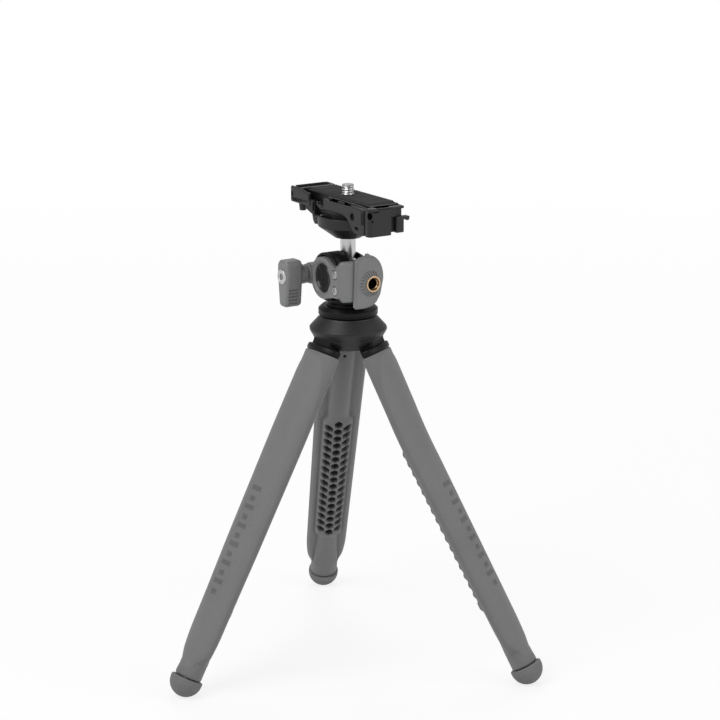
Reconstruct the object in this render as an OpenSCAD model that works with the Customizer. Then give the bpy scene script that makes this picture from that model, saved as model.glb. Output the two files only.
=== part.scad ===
// Flexible leg tripod: three bendable rubber legs, a hub, a ball head and a quick release bracket.
// Millimetres, +Z up, floor at z = 0, the feet's bounding box centred on the origin.

/* [Legs] */
// Angle of each straight leg from straight down
leg_spread = 28.6; // [26:0.1:31]
// Length from the hub pivot to the centre of the foot dome
leg_length = 190.3; // [175:0.1:205]
// Turn of the rear leg away from an even third of the circle, in degrees
rear_leg_turn = 2.5; // [-3:0.1:3]
// Turn of the left leg away from an even third of the circle, in degrees
left_leg_turn = 0.4; // [-3:0.1:3]
// Turn of the right leg away from an even third of the circle, in degrees
right_leg_turn = -1.7; // [-3:0.1:3]
// Outward set of the right leg at its first bend, in degrees
right_leg_bend = 3.2; // [0:0.1:5]
// Rubber width at the top of a leg
leg_width = 26.4; // [23:0.1:26.6]
// Rubber width at the lowest part of a leg
leg_width_low = 22.6; // [19:0.1:23]
// Height of the rounded back above the leg's core line
leg_back = 6.6; // [5.6:0.1:7.2]
// Height of the inner spine above the web of the leg
spine_rise = 3.9; // [3:0.1:4.2]
// Half width of the inner spine
spine_half = 6.3; // [5:0.1:6.8]
// Radius of the bendable core
core_r = 3; // [2.4:0.1:3.4]
// Largest bend at each bend of a leg, in degrees
bend_limit = 30; // [15:1:32]

/* [Honeycomb] */
// Rows of pockets on the spine
comb_rows = 17; // [9:1:17]
// Distance between rows
comb_pitch = 5.4; // [5:0.1:5.6]
// Corner radius of a pocket
comb_r = 2.3; // [1.6:0.1:2.5]
// Depth of a pocket
comb_depth = 1.8; // [1:0.1:2.2]
// Half width of the raised pad around the pockets
pad_half = 8; // [7.4:0.1:8.6]
// Height of the raised pad above the spine
pad_rise = 1.1; // [0.6:0.1:1.4]

/* [Feet] */
// Radius of a foot dome
foot_r = 8.5; // [7.5:0.1:9.2]
// Depth of the small flat that a dome stands on
foot_flat = 0.35; // [0.2:0.05:0.6]

/* [Hub] */
// Distance of the leg pivots from the tripod axis
pivot_r = 12.2; // [11.8:0.1:13]
// Widest radius of the hub
hub_r = 20.1; // [19.4:0.1:22]
// Height of the hub above its flat underside
hub_h = 10; // [8.6:0.1:13]
// Height of the shields below the hub's underside
shield_h = 6; // [5:0.1:6.2]
// Width of a leg head at its pivot
head_w = 14; // [11:0.1:14.6]
// Radius of a leg hinge pin
leg_pin_r = 1.5; // [1:0.1:1.8]

/* [Ball head] */
// Turn of the head about the tripod axis, in degrees
head_turn = -63.2; // [-180:0.1:180]
// Radius of the base disc
disc_r = 15.5; // [14:0.1:17]
// Thickness of the base disc
disc_h = 5; // [4:0.1:7]
// Height of the ball's centre above the base disc
ball_lift = 15.7; // [15.2:0.1:18]
// Radius of the ball
ball_r = 10; // [9:0.1:10.4]
// Radius of the ball housing
barrel_r = 12.4; // [12.2:0.1:12.9]
// Radius of the stem
stem_r = 4; // [3:0.1:4.2]
// Largest tilt of the stem, in degrees
tilt_limit = 35; // [20:1:36]

/* [Clamp and knob] */
// Outer radius of the badge ring
ring_r = 11; // [10:0.1:12]
// Radius of the badge disc
badge_r = 7.5; // [6:0.1:8]
// Height of the clamp band's arm
band_h = 21.5; // [18:0.1:23]
// Distance of the knob's axis from the tripod axis
knob_x = 14; // [13.9:0.1:15]
// Length of the knob's wing along its axis
knob_len = 9.4; // [8:0.1:12]
// Length of the knob's tail below its axis
knob_tail = 15.3; // [10:0.1:18]
// Radius of the clamp rod
rod_r = 2.5; // [2:0.1:2.8]

/* [Side plate] */
// Thickness of the side plate
plate_t = 2; // [1.5:0.1:3]
// Half width of the side plate
plate_half = 9.2; // [8.6:0.1:10.5]
// Outer radius of the threaded insert
insert_r = 4.3; // [4:0.1:4.6]
// Wall radius of the insert's quarter inch thread
insert_bore = 3.175; // [2.5:0.005:3.2]
// Number of teeth in the rosette
rosette_teeth = 24; // [12:1:30]

/* [Bracket] */
// Free length of the stem below the dish
stem_free = 7.6; // [7.4:0.1:12]
// Radius of the dish's rim
dish_r = 15.6; // [13:0.1:16.5]
// Height of the dish
dish_h = 8.8; // [6:0.1:9.2]
// Height of the wall round the dish
dish_wall = 5.2; // [3:0.1:5.4]
// Half width of the bracket
bracket_half = 11.3; // [10:0.1:12]
// Far end of the left arm from the stem
arm_reach = 41.6; // [40:0.1:44]
// Radius of the front corner of the fixed arm's nose
nose_r = 5; // [3:0.1:6]
// Far end of the right jaw from the stem
jaw_reach = 37.5; // [36.5:0.1:42]
// Travel of the right jaw
jaw_travel = 2; // [1:0.1:3]
// Largest press of the lever, in degrees
lever_press = 8; // [4:0.5:9]
// Height of the top plate
top_h = 4.3; // [4:0.1:6]
// Height of the rubber pad
pad_h = 1; // [0.6:0.1:2]
// Radius of the camera screw's quarter inch thread
screw_r = 3.175; // [3:0.005:3.175]
// Free length of the camera screw's thread
screw_len = 5.3; // [4.5:0.1:6]

/* [Fits] */
// Radial clearance of a shaft that turns in a bore
run_fit = 0.06; // [0.02:0.01:0.1]
// Radial clearance between pieces that are fixed together
seat_fit = 0.03; // [0.02:0.01:0.05]
// Gap between pieces that move past each other
gap = 0.5; // [0.4:0.05:0.6]

/* [Hidden] */
$fn = 64;
black = [0.13, 0.13, 0.13];
grey = [0.43, 0.43, 0.43];
rubber = [0.4, 0.4, 0.4];
steel = [0.75, 0.75, 0.76];
brass = [0.72, 0.55, 0.35];

// Leg stations, measured from the pivot along the leg
flange_s = 5.4;
rubber_s = 8.1;
comb_s = leg_length * 0.3325;
bends = [leg_length * 0.294, comb_s + 4.5 * comb_pitch, comb_s + 12.5 * comb_pitch];
foot_s = leg_length - 1.5;
pad_ends = [comb_s - 3.6, comb_s + (comb_rows - 0.2) * comb_pitch];
stops = [rubber_s, bends[0], bends[1], bends[2], foot_s - gap];
rim_x = -0.6;
web_x = -2.6;
comb_first = [9, 0, 5, 13];
comb_last = [0, 3, 11, 16];
knuckle_r = core_r + 0.2;
cheek_y = [2.2, core_r + 1.2];
pocket_r = knuckle_r + 0.7;

// Directions of the legs about the axis, and the outward set of each at its first bend
leg_az = [90 + rear_leg_turn, 210 + left_leg_turn, 330 + right_leg_turn];
shield_az = [for (k = [0:2]) (leg_az[k] + (k < 2 ? leg_az[k + 1] : leg_az[0] + 360)) / 2];
leg_bend = [0, 0, right_leg_bend];
leg_drop = leg_length * cos(leg_spread);

// Fold of a leg that brings its foot to the floor, from its lengths above and below the set bend
function leg_fold(leg) = acos(leg_drop / norm(leg_sum(leg))) - atan2(leg_sum(leg)[1], leg_sum(leg)[0]);
function leg_sum(leg) = let (low = leg_length - bends[0])
    [bends[0] + low * cos(leg_bend[leg]), low * sin(leg_bend[leg])];

// Centre of a foot in plan, from the tripod axis
function leg_reach(leg) = pivot_r + bends[0] * sin(leg_fold(leg))
    + (leg_length - bends[0]) * sin(leg_fold(leg) + leg_bend[leg]);
function foot_at(leg) = leg_reach(leg) * [cos(leg_az[leg]), sin(leg_az[leg])];
axis_x = -(foot_at(1)[0] + foot_at(2)[0]) / 2;
axis_y = -(foot_at(0)[1] + min(foot_at(1)[1], foot_at(2)[1])) / 2;

// Heights above the floor
pivot_z = leg_drop + foot_r - foot_flat;
hub_z = pivot_z + 1.8;
hub_top = hub_z + hub_h;
disc_z = hub_top + gap;
disc_top = disc_z + disc_h;
ball_z = disc_top + ball_lift;
bolt_r = 3;
stem_hole_z = ball_z + barrel_r;
dish_z = stem_hole_z + stem_free;
base_z = dish_z + dish_h;
shelf_z = base_z + 8.1;
top_z = shelf_z + 0.1;
plate_top = top_z + top_h;

// Plan positions in the head's frame: the side plate faces +X and the knob faces -Y
face_y = -barrel_r;
ring_y = face_y - 3.7;
flange_y = ring_y + 0.15;
arm_x = barrel_r + 4.9;
plate_x = arm_x + plate_t;
plate_foot = disc_top + 1.6;
insert_y = 3.1;
insert_z = ball_z - 1.8;
collar_y = ring_y - 0.9;
wing_y = collar_y - 4.6;
knob_end = wing_y - knob_len;
lever_y = -bracket_half + 3.9;
lever_x = 21.6;
lever_z = base_z + 6.2;
lever_pin_r = 1.4;
base_x = [-17, 31];
plate_ends = [-29.9, base_x[1]];
jaw_x = base_x[1] + 0.4;
rod_ys = [2.5, 7.8];
rod_z = base_z + 2.4;

// Points of a half ellipse about x0 that bulges along the sign of rx, from -ry to ry
function half_ellipse(x0, rx, ry, n) =
    [for (i = [0:n]) [x0 + rx * cos(180 * i / n - 90), ry * sin(180 * i / n - 90)]];

// The same points in reverse order
function backwards(list) = [for (i = [len(list) - 1:-1:0]) list[i]];

// Rubber section: rounded back, flat webs and a rounded spine on the inner side
function leg_outline(w, back, k) = concat(
    half_ellipse(rim_x, back - rim_x, w / 2, 20),
    [[web_x, w / 2 - 1.5]],
    backwards(half_ellipse(web_x, -spine_rise * k, spine_half * k, 12)),
    [[web_x, 1.5 - w / 2]]);

// Width, height of the back and share of the spine of leg part i, from 0 at the top to 3 at the foot
function part_width(i) = leg_width + (leg_width_low - leg_width) * i / 3;
function part_back(i) = leg_back * (1 - 0.02 * i);
function part_share(i) = 1 - 0.05 * i;

// Height of the raised pad of leg part i above the web
function comb_top(i) = spine_rise * part_share(i) + pad_rise;

module on_axis() {
    translate([axis_x, axis_y, 0]) children();
}

module on_head() {
    on_axis() rotate([0, 0, head_turn]) children();
}

// Leg frame: the leg runs down -Z from its pivot, +X faces outward
module on_leg(leg) {
    on_axis() rotate([0, 0, leg_az[leg]]) translate([pivot_r, 0, pivot_z]) rotate([0, -leg_fold(leg), 0]) children();
}

// Frame of leg part i, turned at the first bend for the parts below it
module on_part(leg, i) {
    set = i > 0 ? leg_bend[leg] : 0;
    on_leg(leg) translate([0, 0, -bends[0]]) rotate([0, -set, 0]) translate([0, 0, bends[0]]) children();
}

// Cylinder along +X, +Y from the current place
module x_rod(r, h) {
    rotate([0, 90, 0]) cylinder(r = r, h = h);
}

module y_rod(r, h) {
    rotate([-90, 0, 0]) cylinder(r = r, h = h);
}

// Outline drawn in X and Z, given a thickness along +Y
module y_slab(h) {
    translate([0, h, 0]) rotate([90, 0, 0]) linear_extrude(h) children();
}

// Outline drawn in Y and Z, given a thickness along +X
module x_slab(h) {
    rotate([90, 0, 90]) linear_extrude(h) children();
}

// Box from one corner to the opposite one
module box(low, high) {
    translate(low) cube(high - low);
}

// Clearance for a bend at station s: everything past the V shaped face, on side 1 below it, on side -1 above it
module bend_clear(s, side) {
    slope = tan(bend_limit / 2 + 0.6);
    translate([0, -20, -s]) mirror([0, 0, side > 0 ? 0 : 1]) y_slab(40)
        polygon([[0, 0.2], [20, 20 * slope + 0.2], [20, -9], [-20, -9], [-20, 20 * slope + 0.2]]);
    translate([0, -cheek_y[1] - 1, -s]) y_rod(pocket_r, 2 * cheek_y[1] + 2);
    if (side < 0) box([-core_r, -cheek_y[1] - 0.1, -s - pocket_r - 2.8], [core_r, cheek_y[1] + 0.1, -s]);
}

// Hexagonal pockets of leg part i: one column on the crest of the spine and one on each flank
module comb_pockets(i) {
    for (row = [comb_first[i]:1:min(comb_last[i], comb_rows - 1)]) {
        s = comb_s + row * comb_pitch;
        translate([web_x - comb_top(i) - 1, 0, -s]) x_rod_hex(comb_depth + 1);
        for (side = [-1, 1])
            translate([web_x - comb_top(i) * 0.78, side * pad_half * 0.625, -s - comb_pitch / 2])
                rotate([0, 0, -side * 30]) translate([-1.4, 0, 0]) x_rod_hex(comb_depth * 0.7 + 1.4);
    }
}

// Raised pad of leg part i: half an ellipse over the spine, between the pad's ends
module comb_raise(i) {
    from = max(stops[i], pad_ends[0]);
    to = min(stops[i + 1], pad_ends[1]);
    if (to > from) translate([0, 0, -to]) linear_extrude(to - from)
        polygon(half_ellipse(web_x + 0.2, -comb_top(i) - 0.2, pad_half, 16));
}

module x_rod_hex(h) {
    rotate([0, 90, 0]) cylinder(r = comb_r, h = h, $fn = 6);
}

// Rubber of leg part i: 0 upper, 1 middle, 2 lower, 3 end
module leg_rubber(leg, i) {
    color(rubber) on_part(leg, i) difference() {
        union() {
            intersection() {
                translate([0, 0, -stops[i + 1]]) linear_extrude(stops[i + 1] - stops[i])
                    polygon(leg_outline(part_width(i), part_back(i), part_share(i)));
                if (i == 3) leg_end_taper();
            }
            if (i > 0) comb_raise(i);
            if (i == 3) translate([0, 0, -stops[4]]) cylinder(r1 = foot_r - 0.7, r2 = 5.4, h = 27);
        }
        if (i > 0) bend_clear(stops[i], -1);
        if (i < 3) bend_clear(stops[i + 1], 1);
        translate([0, 0, -leg_length]) cylinder(r = core_r + seat_fit, h = leg_length);
        if (i > 0) comb_pockets(i);
    }
}

// Front outline that rounds the wings of the lowest part in to the foot
module leg_end_taper() {
    w = leg_width_low / 2;
    end = foot_r - 1.1;
    curve = [for (a = [0:15:90]) [end + (w - end) * cos(a), 28 - 19.5 * sin(a) - foot_s]];
    right = concat([[w + 1, 1 - bends[2]]], curve, [[end, -foot_s]]);
    translate([-20, 0, 0]) x_slab(40) polygon(concat(right, [for (p = backwards(right)) [-p[0], p[1]]]));
}

// Core link of leg part i: a rod with a fork at its upper end and an eye at its lower end
module leg_core(leg, i) {
    top = i == 0 ? flange_s : stops[i] + knuckle_r + 0.8;
    low = i == 3 ? leg_length + 4 : stops[i + 1] - knuckle_r - 0.8;
    color(steel) on_part(leg, i) difference() {
        union() {
            translate([0, 0, -low]) cylinder(r = core_r, h = low - top);
            if (i > 0) core_fork(stops[i], top);
            if (i < 3) core_eye(stops[i + 1], low);
        }
        if (i < 3) translate([0, -5, -stops[i + 1]]) y_rod(1.2 + run_fit, 10);
    }
}

module core_fork(s, top) {
    translate([0, -cheek_y[1], -s]) y_rod(1.2, 2 * cheek_y[1]);
    for (side = [-1, 1]) {
        y0 = side > 0 ? cheek_y[0] : -cheek_y[1];
        translate([0, y0, -s]) y_rod(knuckle_r, cheek_y[1] - cheek_y[0]);
        box([-core_r * 0.9, y0, -top - 2.5], [core_r * 0.9, y0 + cheek_y[1] - cheek_y[0], -s]);
    }
    box([-core_r * 0.9, -cheek_y[1], -top - 2.5], [core_r * 0.9, cheek_y[1], -top]);
}

module core_eye(s, low) {
    y = cheek_y[0] - 0.3;
    translate([0, -y, -s]) y_rod(knuckle_r, 2 * y);
    box([-2, -y, -s], [2, y, -low + 0.5]);
}

// Black head between a leg's rubber and the hub
module leg_head(leg) {
    color(black) on_leg(leg) difference() {
        union() {
            translate([0, -head_w / 2, 0]) y_rod(5, head_w);
            box([-4.5, -head_w / 2, -flange_s - 1], [4.5, head_w / 2, 0]);
            translate([0, 0, -rubber_s + 0.2]) linear_extrude(rubber_s - flange_s - 0.2)
                polygon(leg_outline(leg_width - 1, leg_back - 0.3, 0.96));
        }
        translate([0, -head_w, 0]) y_rod(leg_pin_r + run_fit, 2 * head_w);
        translate([0, 0, -rubber_s]) cylinder(r = core_r + seat_fit, h = rubber_s - flange_s);
        for (side = [-1, 1]) box([-2.4, side * head_w / 2 - 0.8, -flange_s + 0.4], [2.4, side * head_w / 2 + 0.8, -2.2]);
    }
}

// Rounded foot cap with a small flat on the floor
module leg_foot(leg) {
    color(rubber) difference() {
        on_part(leg, 3) difference() {
            union() {
                translate([0, 0, -leg_length]) sphere(r = foot_r);
                translate([0, 0, -leg_length]) cylinder(r = foot_r, h = leg_length - foot_s);
            }
            translate([0, 0, -foot_s]) cylinder(r = 2 * foot_r, h = 2 * foot_r);
            translate([0, 0, -leg_length - 4 - seat_fit]) cylinder(r = core_r + seat_fit, h = 2 * foot_r);
        }
        box([-400, -400, -40], [400, 400, 0]);
    }
}

module hub() {
    shield_r = hub_r - 1.5;
    color(black) on_axis() difference() {
        union() {
            rotate_extrude() polygon([[0, hub_z], [hub_r - 1.6, hub_z], [hub_r, hub_z + 2.6], [hub_r, hub_z + 3.6],
                [disc_r - 0.4, hub_top - 0.6], [disc_r - 1, hub_top], [disc_r - 5, hub_top],
                [disc_r - 5.4, disc_z - 0.05], [0, disc_z - 0.05]]);
            intersection() {
                translate([0, 0, hub_z - shield_h]) cylinder(r1 = shield_r - 4, r2 = shield_r, h = shield_h + 0.1);
                for (k = [0:2]) rotate([0, 0, shield_az[k]]) translate([6.6, 0, 0]) x_slab(hub_r)
                    polygon([for (i = [0:12]) [13 * cos(15 * i), hub_z + 0.1 - shield_h * sin(15 * i)]]);
            }
        }
        for (k = [0:2]) rotate([0, 0, leg_az[k]]) translate([pivot_r, 0, pivot_z]) {
            translate([0, -head_w / 2 - gap, 0]) y_rod(5 + gap, head_w + 2 * gap);
            box([-6.6, -head_w / 2 - gap, -20], [20, head_w / 2 + gap, 0]);
            translate([0, -head_w, 0]) y_rod(leg_pin_r + seat_fit, 2 * head_w);
        }
        translate([0, 0, hub_z - 1]) cylinder(r = bolt_r + seat_fit, h = 30);
    }
}

module leg_pins() {
    color(steel) on_axis() for (k = [0:2])
        rotate([0, 0, leg_az[k]]) translate([pivot_r, -head_w / 2 - 3.4, pivot_z]) y_rod(leg_pin_r, head_w + 6.8);
}

module pan_bolt() {
    color(steel) on_axis() difference() {
        union() {
            translate([0, 0, hub_z - 4]) cylinder(r = bolt_r, h = disc_top - hub_z + 6);
            translate([0, 0, disc_top + 0.1]) cylinder(r = 5, h = 2.8);
        }
        translate([0, 0, disc_top + 1.4]) cylinder(r = 2.2, h = 3, $fn = 6);
    }
}

module bolt_nut() {
    color(steel) on_axis() translate([0, 0, hub_z - 3.4]) difference() {
        cylinder(r = 5.2, h = 3.4, $fn = 6);
        translate([0, 0, -1]) cylinder(r = bolt_r + seat_fit, h = 6);
    }
}

module base_disc() {
    color(black) on_head() rotate_extrude() polygon([[bolt_r + run_fit, disc_z], [disc_r - 0.4, disc_z],
        [disc_r, disc_z + 0.4], [disc_r, disc_top - 1.7], [disc_r - 1.8, disc_top], [bolt_r + run_fit, disc_top]]);
}

// Barrel around the ball, lying along Y, with a slot on top for the stem
module ball_socket() {
    h = barrel_r + 4;
    foot = stem_r + 1.2;
    color(black) on_head() difference() {
        union() {
            translate([0, face_y, ball_z]) y_rod(barrel_r, 2 * barrel_r - 2);
            translate([0, -face_y - 2, ball_z]) rotate([-90, 0, 0]) cylinder(r1 = barrel_r, r2 = barrel_r - 2, h = 2);
            translate([0, 0, disc_top]) cylinder(r = ball_r + 0.6, h = ball_lift);
            translate([-knob_x, face_y, ball_z]) y_rod(5.6, barrel_r + 9.2);
            box([-knob_x, face_y, ball_z - 4.6], [0, 8, ball_z + 4.6]);
        }
        translate([0, 0, ball_z]) sphere(r = ball_r + run_fit);
        translate([0, face_y - 1, ball_z]) y_rod(ball_r + run_fit, barrel_r + 1);
        translate([0, -stem_r - gap, ball_z]) y_slab(2 * (stem_r + gap))
            polygon([[-foot, 0], [foot, 0], [foot + h * tan(tilt_limit + 1), h], [-foot - h * tan(tilt_limit + 1), h]]);
        translate([0, 0, disc_top - 1]) cylinder(r = 5.6, h = 4.6);
        translate([-knob_x, face_y - 1, ball_z]) y_rod(rod_r + run_fit, 40);
    }
}

module ball_seat() {
    color(black) on_head() difference() {
        translate([0, face_y, ball_z]) y_rod(ball_r, barrel_r - stem_r - 1.2);
        translate([0, 0, ball_z]) sphere(r = ball_r + run_fit);
    }
}

// Two rods along +Y at the places of the band screws, starting dy from the flange
module band_screw_places(r, dy, h) {
    for (dz = [-4.7, 3.8]) translate([barrel_r - 0.5, flange_y + dy, ball_z + dz]) y_rod(r, h);
}

// Ring around the badge, a screwed flange beside it and an arm that carries the side plate
module clamp_band() {
    back_y = face_y - 0.1;
    inner_x = barrel_r + 0.5;
    corner_x = barrel_r + 1.6;
    color(grey) on_head() difference() {
        union() {
            translate([0, ring_y, ball_z]) y_rod(ring_r, back_y - ring_y);
            box([4, flange_y, ball_z - band_h / 2 + 2.3], [corner_x, back_y, ball_z + band_h / 2 - 2.3]);
            translate([0, 0, ball_z - band_h / 2]) linear_extrude(band_h)
                polygon([[corner_x, flange_y], [arm_x, face_y + 3.2], [arm_x, 8.8], [inner_x, 8.8], [inner_x, flange_y]]);
        }
        translate([0, ring_y - 1, ball_z]) y_rod(badge_r + 0.1, 10);
        translate([barrel_r, insert_y, insert_z]) x_rod(insert_r + seat_fit, 20);
        band_screw_places(1 + seat_fit, -1, 8);
        band_screw_places(2.5, -3, 3.85);
        translate([inner_x - 1, 0, ball_z]) x_slab(20) {
            polygon([[4.6, band_h / 2 + 0.1], [9, band_h / 2 - 5.2], [9, band_h / 2 + 0.1]]);
            polygon([[3.6, -band_h / 2 - 0.1], [9, -band_h / 2 - 0.1], [9, 7.8 - band_h / 2]]);
        }
    }
}

module band_screws() {
    color(steel) on_head() difference() {
        union() {
            band_screw_places(1, 0.3, 2.9);
            band_screw_places(2.4, -0.15, 0.95);
        }
        band_screw_places(1.2, -1.5, 1.95, $fn = 6);
    }
}

module badge_disc() {
    color(black) on_head() translate([0, ring_y + 0.7, ball_z]) y_rod(badge_r, face_y - 0.2 - ring_y - 0.7);
}

// Side plate outline in Y and Z: straight on the knob side, round on top, drawn in below on the far side
module side_plate() {
    top_c = ball_z + 3.6;
    left = 1 - plate_half;
    color(grey) on_head() difference() {
        union() {
            translate([arm_x, 0, 0]) x_slab(plate_t) intersection() {
                union() {
                    translate([0, top_c]) circle(r = plate_half + 0.7);
                    polygon([[left, plate_foot], [4.6, plate_foot + 2.5], [7.6, plate_foot + 6.6],
                        [plate_half, plate_foot + 12.6], [plate_half + 0.6, top_c], [left + 0.5, top_c]]);
                }
                polygon([[left, plate_foot], [20, plate_foot], [20, top_c + 20], [left + 1, top_c + 20]]);
            }
            for (k = [0:rosette_teeth - 1]) if (cos(k * 360 / rosette_teeth) < 0.7)
                translate([plate_x, insert_y, insert_z]) rotate([k * 360 / rosette_teeth, 0, 0])
                    box([-0.2, insert_r + 0.4, -0.28], [0.4, insert_r + 3.4, 0.28]);
        }
        translate([arm_x - 1, insert_y, insert_z]) x_rod(insert_r + seat_fit, 20);
    }
}

module thread_insert() {
    back = barrel_r + 0.6;
    color(brass) on_head() translate([back, insert_y, insert_z]) difference() {
        x_rod(insert_r, plate_x + 0.4 - back);
        translate([-1, 0, 0]) x_rod(insert_bore, 20);
    }
}

module clamp_collar() {
    color(grey) on_head() difference() {
        translate([-knob_x, collar_y, ball_z]) y_rod(5.6, face_y - 0.1 - collar_y);
        translate([-knob_x, collar_y - 1, ball_z]) y_rod(rod_r + run_fit, 20);
        translate([0, ring_y - 0.1, ball_z]) y_rod(ring_r + 0.1, 20);
    }
}

// Wing knob: round above its axis, a straight tapered tail below, finger grooves on one flank
module knob() {
    color(grey) on_head() translate([-knob_x, 0, ball_z]) difference() {
        union() {
            translate([0, knob_end, 0]) y_slab(knob_len) {
                translate([0, 3.2]) circle(r = 5.2);
                translate([0, 1.6 - knob_tail]) circle(r = 3.4);
                polygon([[-5.2, 3.2], [-3.4, 1.6 - knob_tail], [-2.2, -knob_tail - 0.8], [2.2, -knob_tail - 0.8],
                    [3.4, 1.6 - knob_tail], [5.2, 3.2]]);
            }
            translate([0, wing_y - 0.1, 0]) y_rod(5.2, collar_y - 0.3 - wing_y);
        }
        translate([0, knob_end - 1, 0]) y_rod(4.3, 1.8);
        translate([0, knob_end, 0]) y_rod(rod_r + seat_fit, 40);
        for (k = [0:4]) box([3.3, knob_end + 1.4, -7.4 - 1.7 * k], [6, wing_y - 1.4, -6.6 - 1.7 * k]);
    }
}

module knob_screw() {
    color(steel) on_head() translate([-knob_x, knob_end, ball_z]) difference() {
        translate([0, -0.8, 0]) y_rod(4.15, 1.5);
        translate([0, -1, 0]) rotate([-90, 0, 0]) cylinder(r = 2, h = 1.2, $fn = 6);
    }
}

module clamp_rod() {
    color(steel) on_head() translate([-knob_x, knob_end + 0.9, ball_z]) y_rod(rod_r, 5 - knob_end);
}

module ball() {
    color(steel) on_head() translate([0, 0, ball_z]) difference() {
        sphere(r = ball_r);
        translate([0, 0, 1]) cylinder(r = stem_r + seat_fit, h = 20);
    }
}

module stem() {
    color(steel) on_head() difference() {
        translate([0, 0, ball_z + 1.1]) cylinder(r = stem_r, h = base_z + 2.6 - ball_z - 1.1);
        translate([0, 0, base_z - 4]) cylinder(r = 2 + seat_fit, h = 20);
    }
}

module stem_screw() {
    color(steel) on_head() translate([0, 0, base_z]) difference() {
        union() {
            translate([0, 0, -3.9]) cylinder(r = 2, h = 7);
            translate([0, 0, 2.65]) cylinder(r = 5.8, h = 2);
        }
        translate([0, 0, 3.6]) cylinder(r = 2, h = 3, $fn = 6);
    }
}

// Dish: a cone with a low wall round its rim, which stands up before and behind the base
module dish() {
    color(black) on_head() difference() {
        rotate_extrude() polygon([[stem_r + run_fit, dish_z], [dish_r * 0.44, dish_z], [dish_r, base_z - dish_wall / 2],
            [dish_r, base_z + dish_wall / 2], [dish_r - 1.2, base_z + dish_wall / 2], [dish_r - 1.2, base_z],
            [stem_r + run_fit, base_z]]);
        box([-40, lever_y + 0.2, base_z], [40, bracket_half + 0.2, base_z + 20]);
    }
}

module bracket_base() {
    color(black) on_head() difference() {
        box([base_x[0], lever_y + 0.4, base_z], [base_x[1], bracket_half, shelf_z]);
        translate([0, 0, base_z - 1]) cylinder(r = stem_r + run_fit, h = 20);
        translate([0, 0, base_z + 2.5]) cylinder(r = 6.4, h = 20);
        translate([lever_x, lever_y - 1, lever_z]) y_rod(lever_pin_r + seat_fit, 6.2);
        for (y = rod_ys) translate([jaw_x - 20, y, rod_z]) x_rod(1.5 + run_fit, 30);
        box([-13, bracket_half - 5, base_z + 2], [-8, bracket_half + 1, shelf_z + 1]);
    }
}

// Fixed arm: a shelf under the plate, a hooked end with a hole, a front wall and a peg
module left_arm() {
    hook = plate_ends[0] - 0.3;
    color(black) on_head() difference() {
        union() {
            box([-arm_reach, -bracket_half, shelf_z - 3.1], [base_x[0], bracket_half, shelf_z]);
            translate([0, -bracket_half, 0]) y_slab(2 * bracket_half)
                polygon([[-arm_reach, shelf_z - 3.1], [hook, shelf_z - 3.1], [hook, top_z + 1.7],
                    [hook + 1.3, plate_top + 0.2], [hook + 1.3, plate_top + 0.6], [1.6 - arm_reach, plate_top + 0.6],
                    [-arm_reach, plate_top - 1]]);
            box([-arm_reach + 1, -bracket_half, shelf_z - 0.1], [base_x[0] - 1, 1.5 - bracket_half, plate_top - 1]);
            box([base_x[0] - 5, -bracket_half, base_z + 1.2], [base_x[0], bracket_half, shelf_z]);
            translate([base_x[0] - 13.2, 2.6 - bracket_half, base_z + 1.2]) cylinder(r = 2.2, h = 5.4);
            box([base_x[0] - 1, 0.6 - bracket_half, base_z - 3.4], [base_x[0] + 3.2, 2.8 - bracket_half, base_z + 3]);
        }
        difference() {
            box([-arm_reach - 1, -bracket_half - 1, base_z], [nose_r - arm_reach, nose_r - bracket_half, plate_top + 2]);
            translate([nose_r - arm_reach, nose_r - bracket_half, base_z - 1]) cylinder(r = nose_r, h = 30);
        }
        translate([nose_r - 0.4 - arm_reach, -20, plate_top - 3.2]) y_rod(1.6, 40);
        box([nose_r + 2.4 - arm_reach, 3 - bracket_half, shelf_z + 1], [hook - 0.9, bracket_half - 2, plate_top + 2]);
    }
}

module lever_pin() {
    color(steel) on_head() translate([lever_x, 1 - bracket_half, lever_z]) y_rod(lever_pin_r, 7.7);
}

// Press lever: a flat handle on the left, with a slot behind a low front rim, that drops to a deep hub around its pin
module lever() {
    low = base_z + 6;
    top = plate_top - 0.9;
    end = jaw_x + 1.2;
    color(black) on_head() difference() {
        translate([0, -bracket_half, 0]) y_slab(lever_y + bracket_half)
            polygon([[-6, low], [13, low], [16, low - 1], [17.8, low - 2.9], [19.6, base_z - 2.2], [27.6, base_z - 2.2],
                [end, base_z + 0.4], [end, top - 1.6], [26, top - 0.6], [17, top], [-6, top]]);
        translate([lever_x, -20, lever_z]) y_rod(lever_pin_r + run_fit, 40);
        box([-4, 1 - bracket_half, top - 2.6], [14.6, 2.6 - bracket_half, top + 1]);
        box([-10, -bracket_half - 1, top - 1.3], [15.5, 1.1 - bracket_half, top + 1]);
        box([end - 3.4, -bracket_half - 1, base_z + 2.6], [end - 2.6, 0.8 - bracket_half, top - 2.4]);
    }
}

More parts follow.
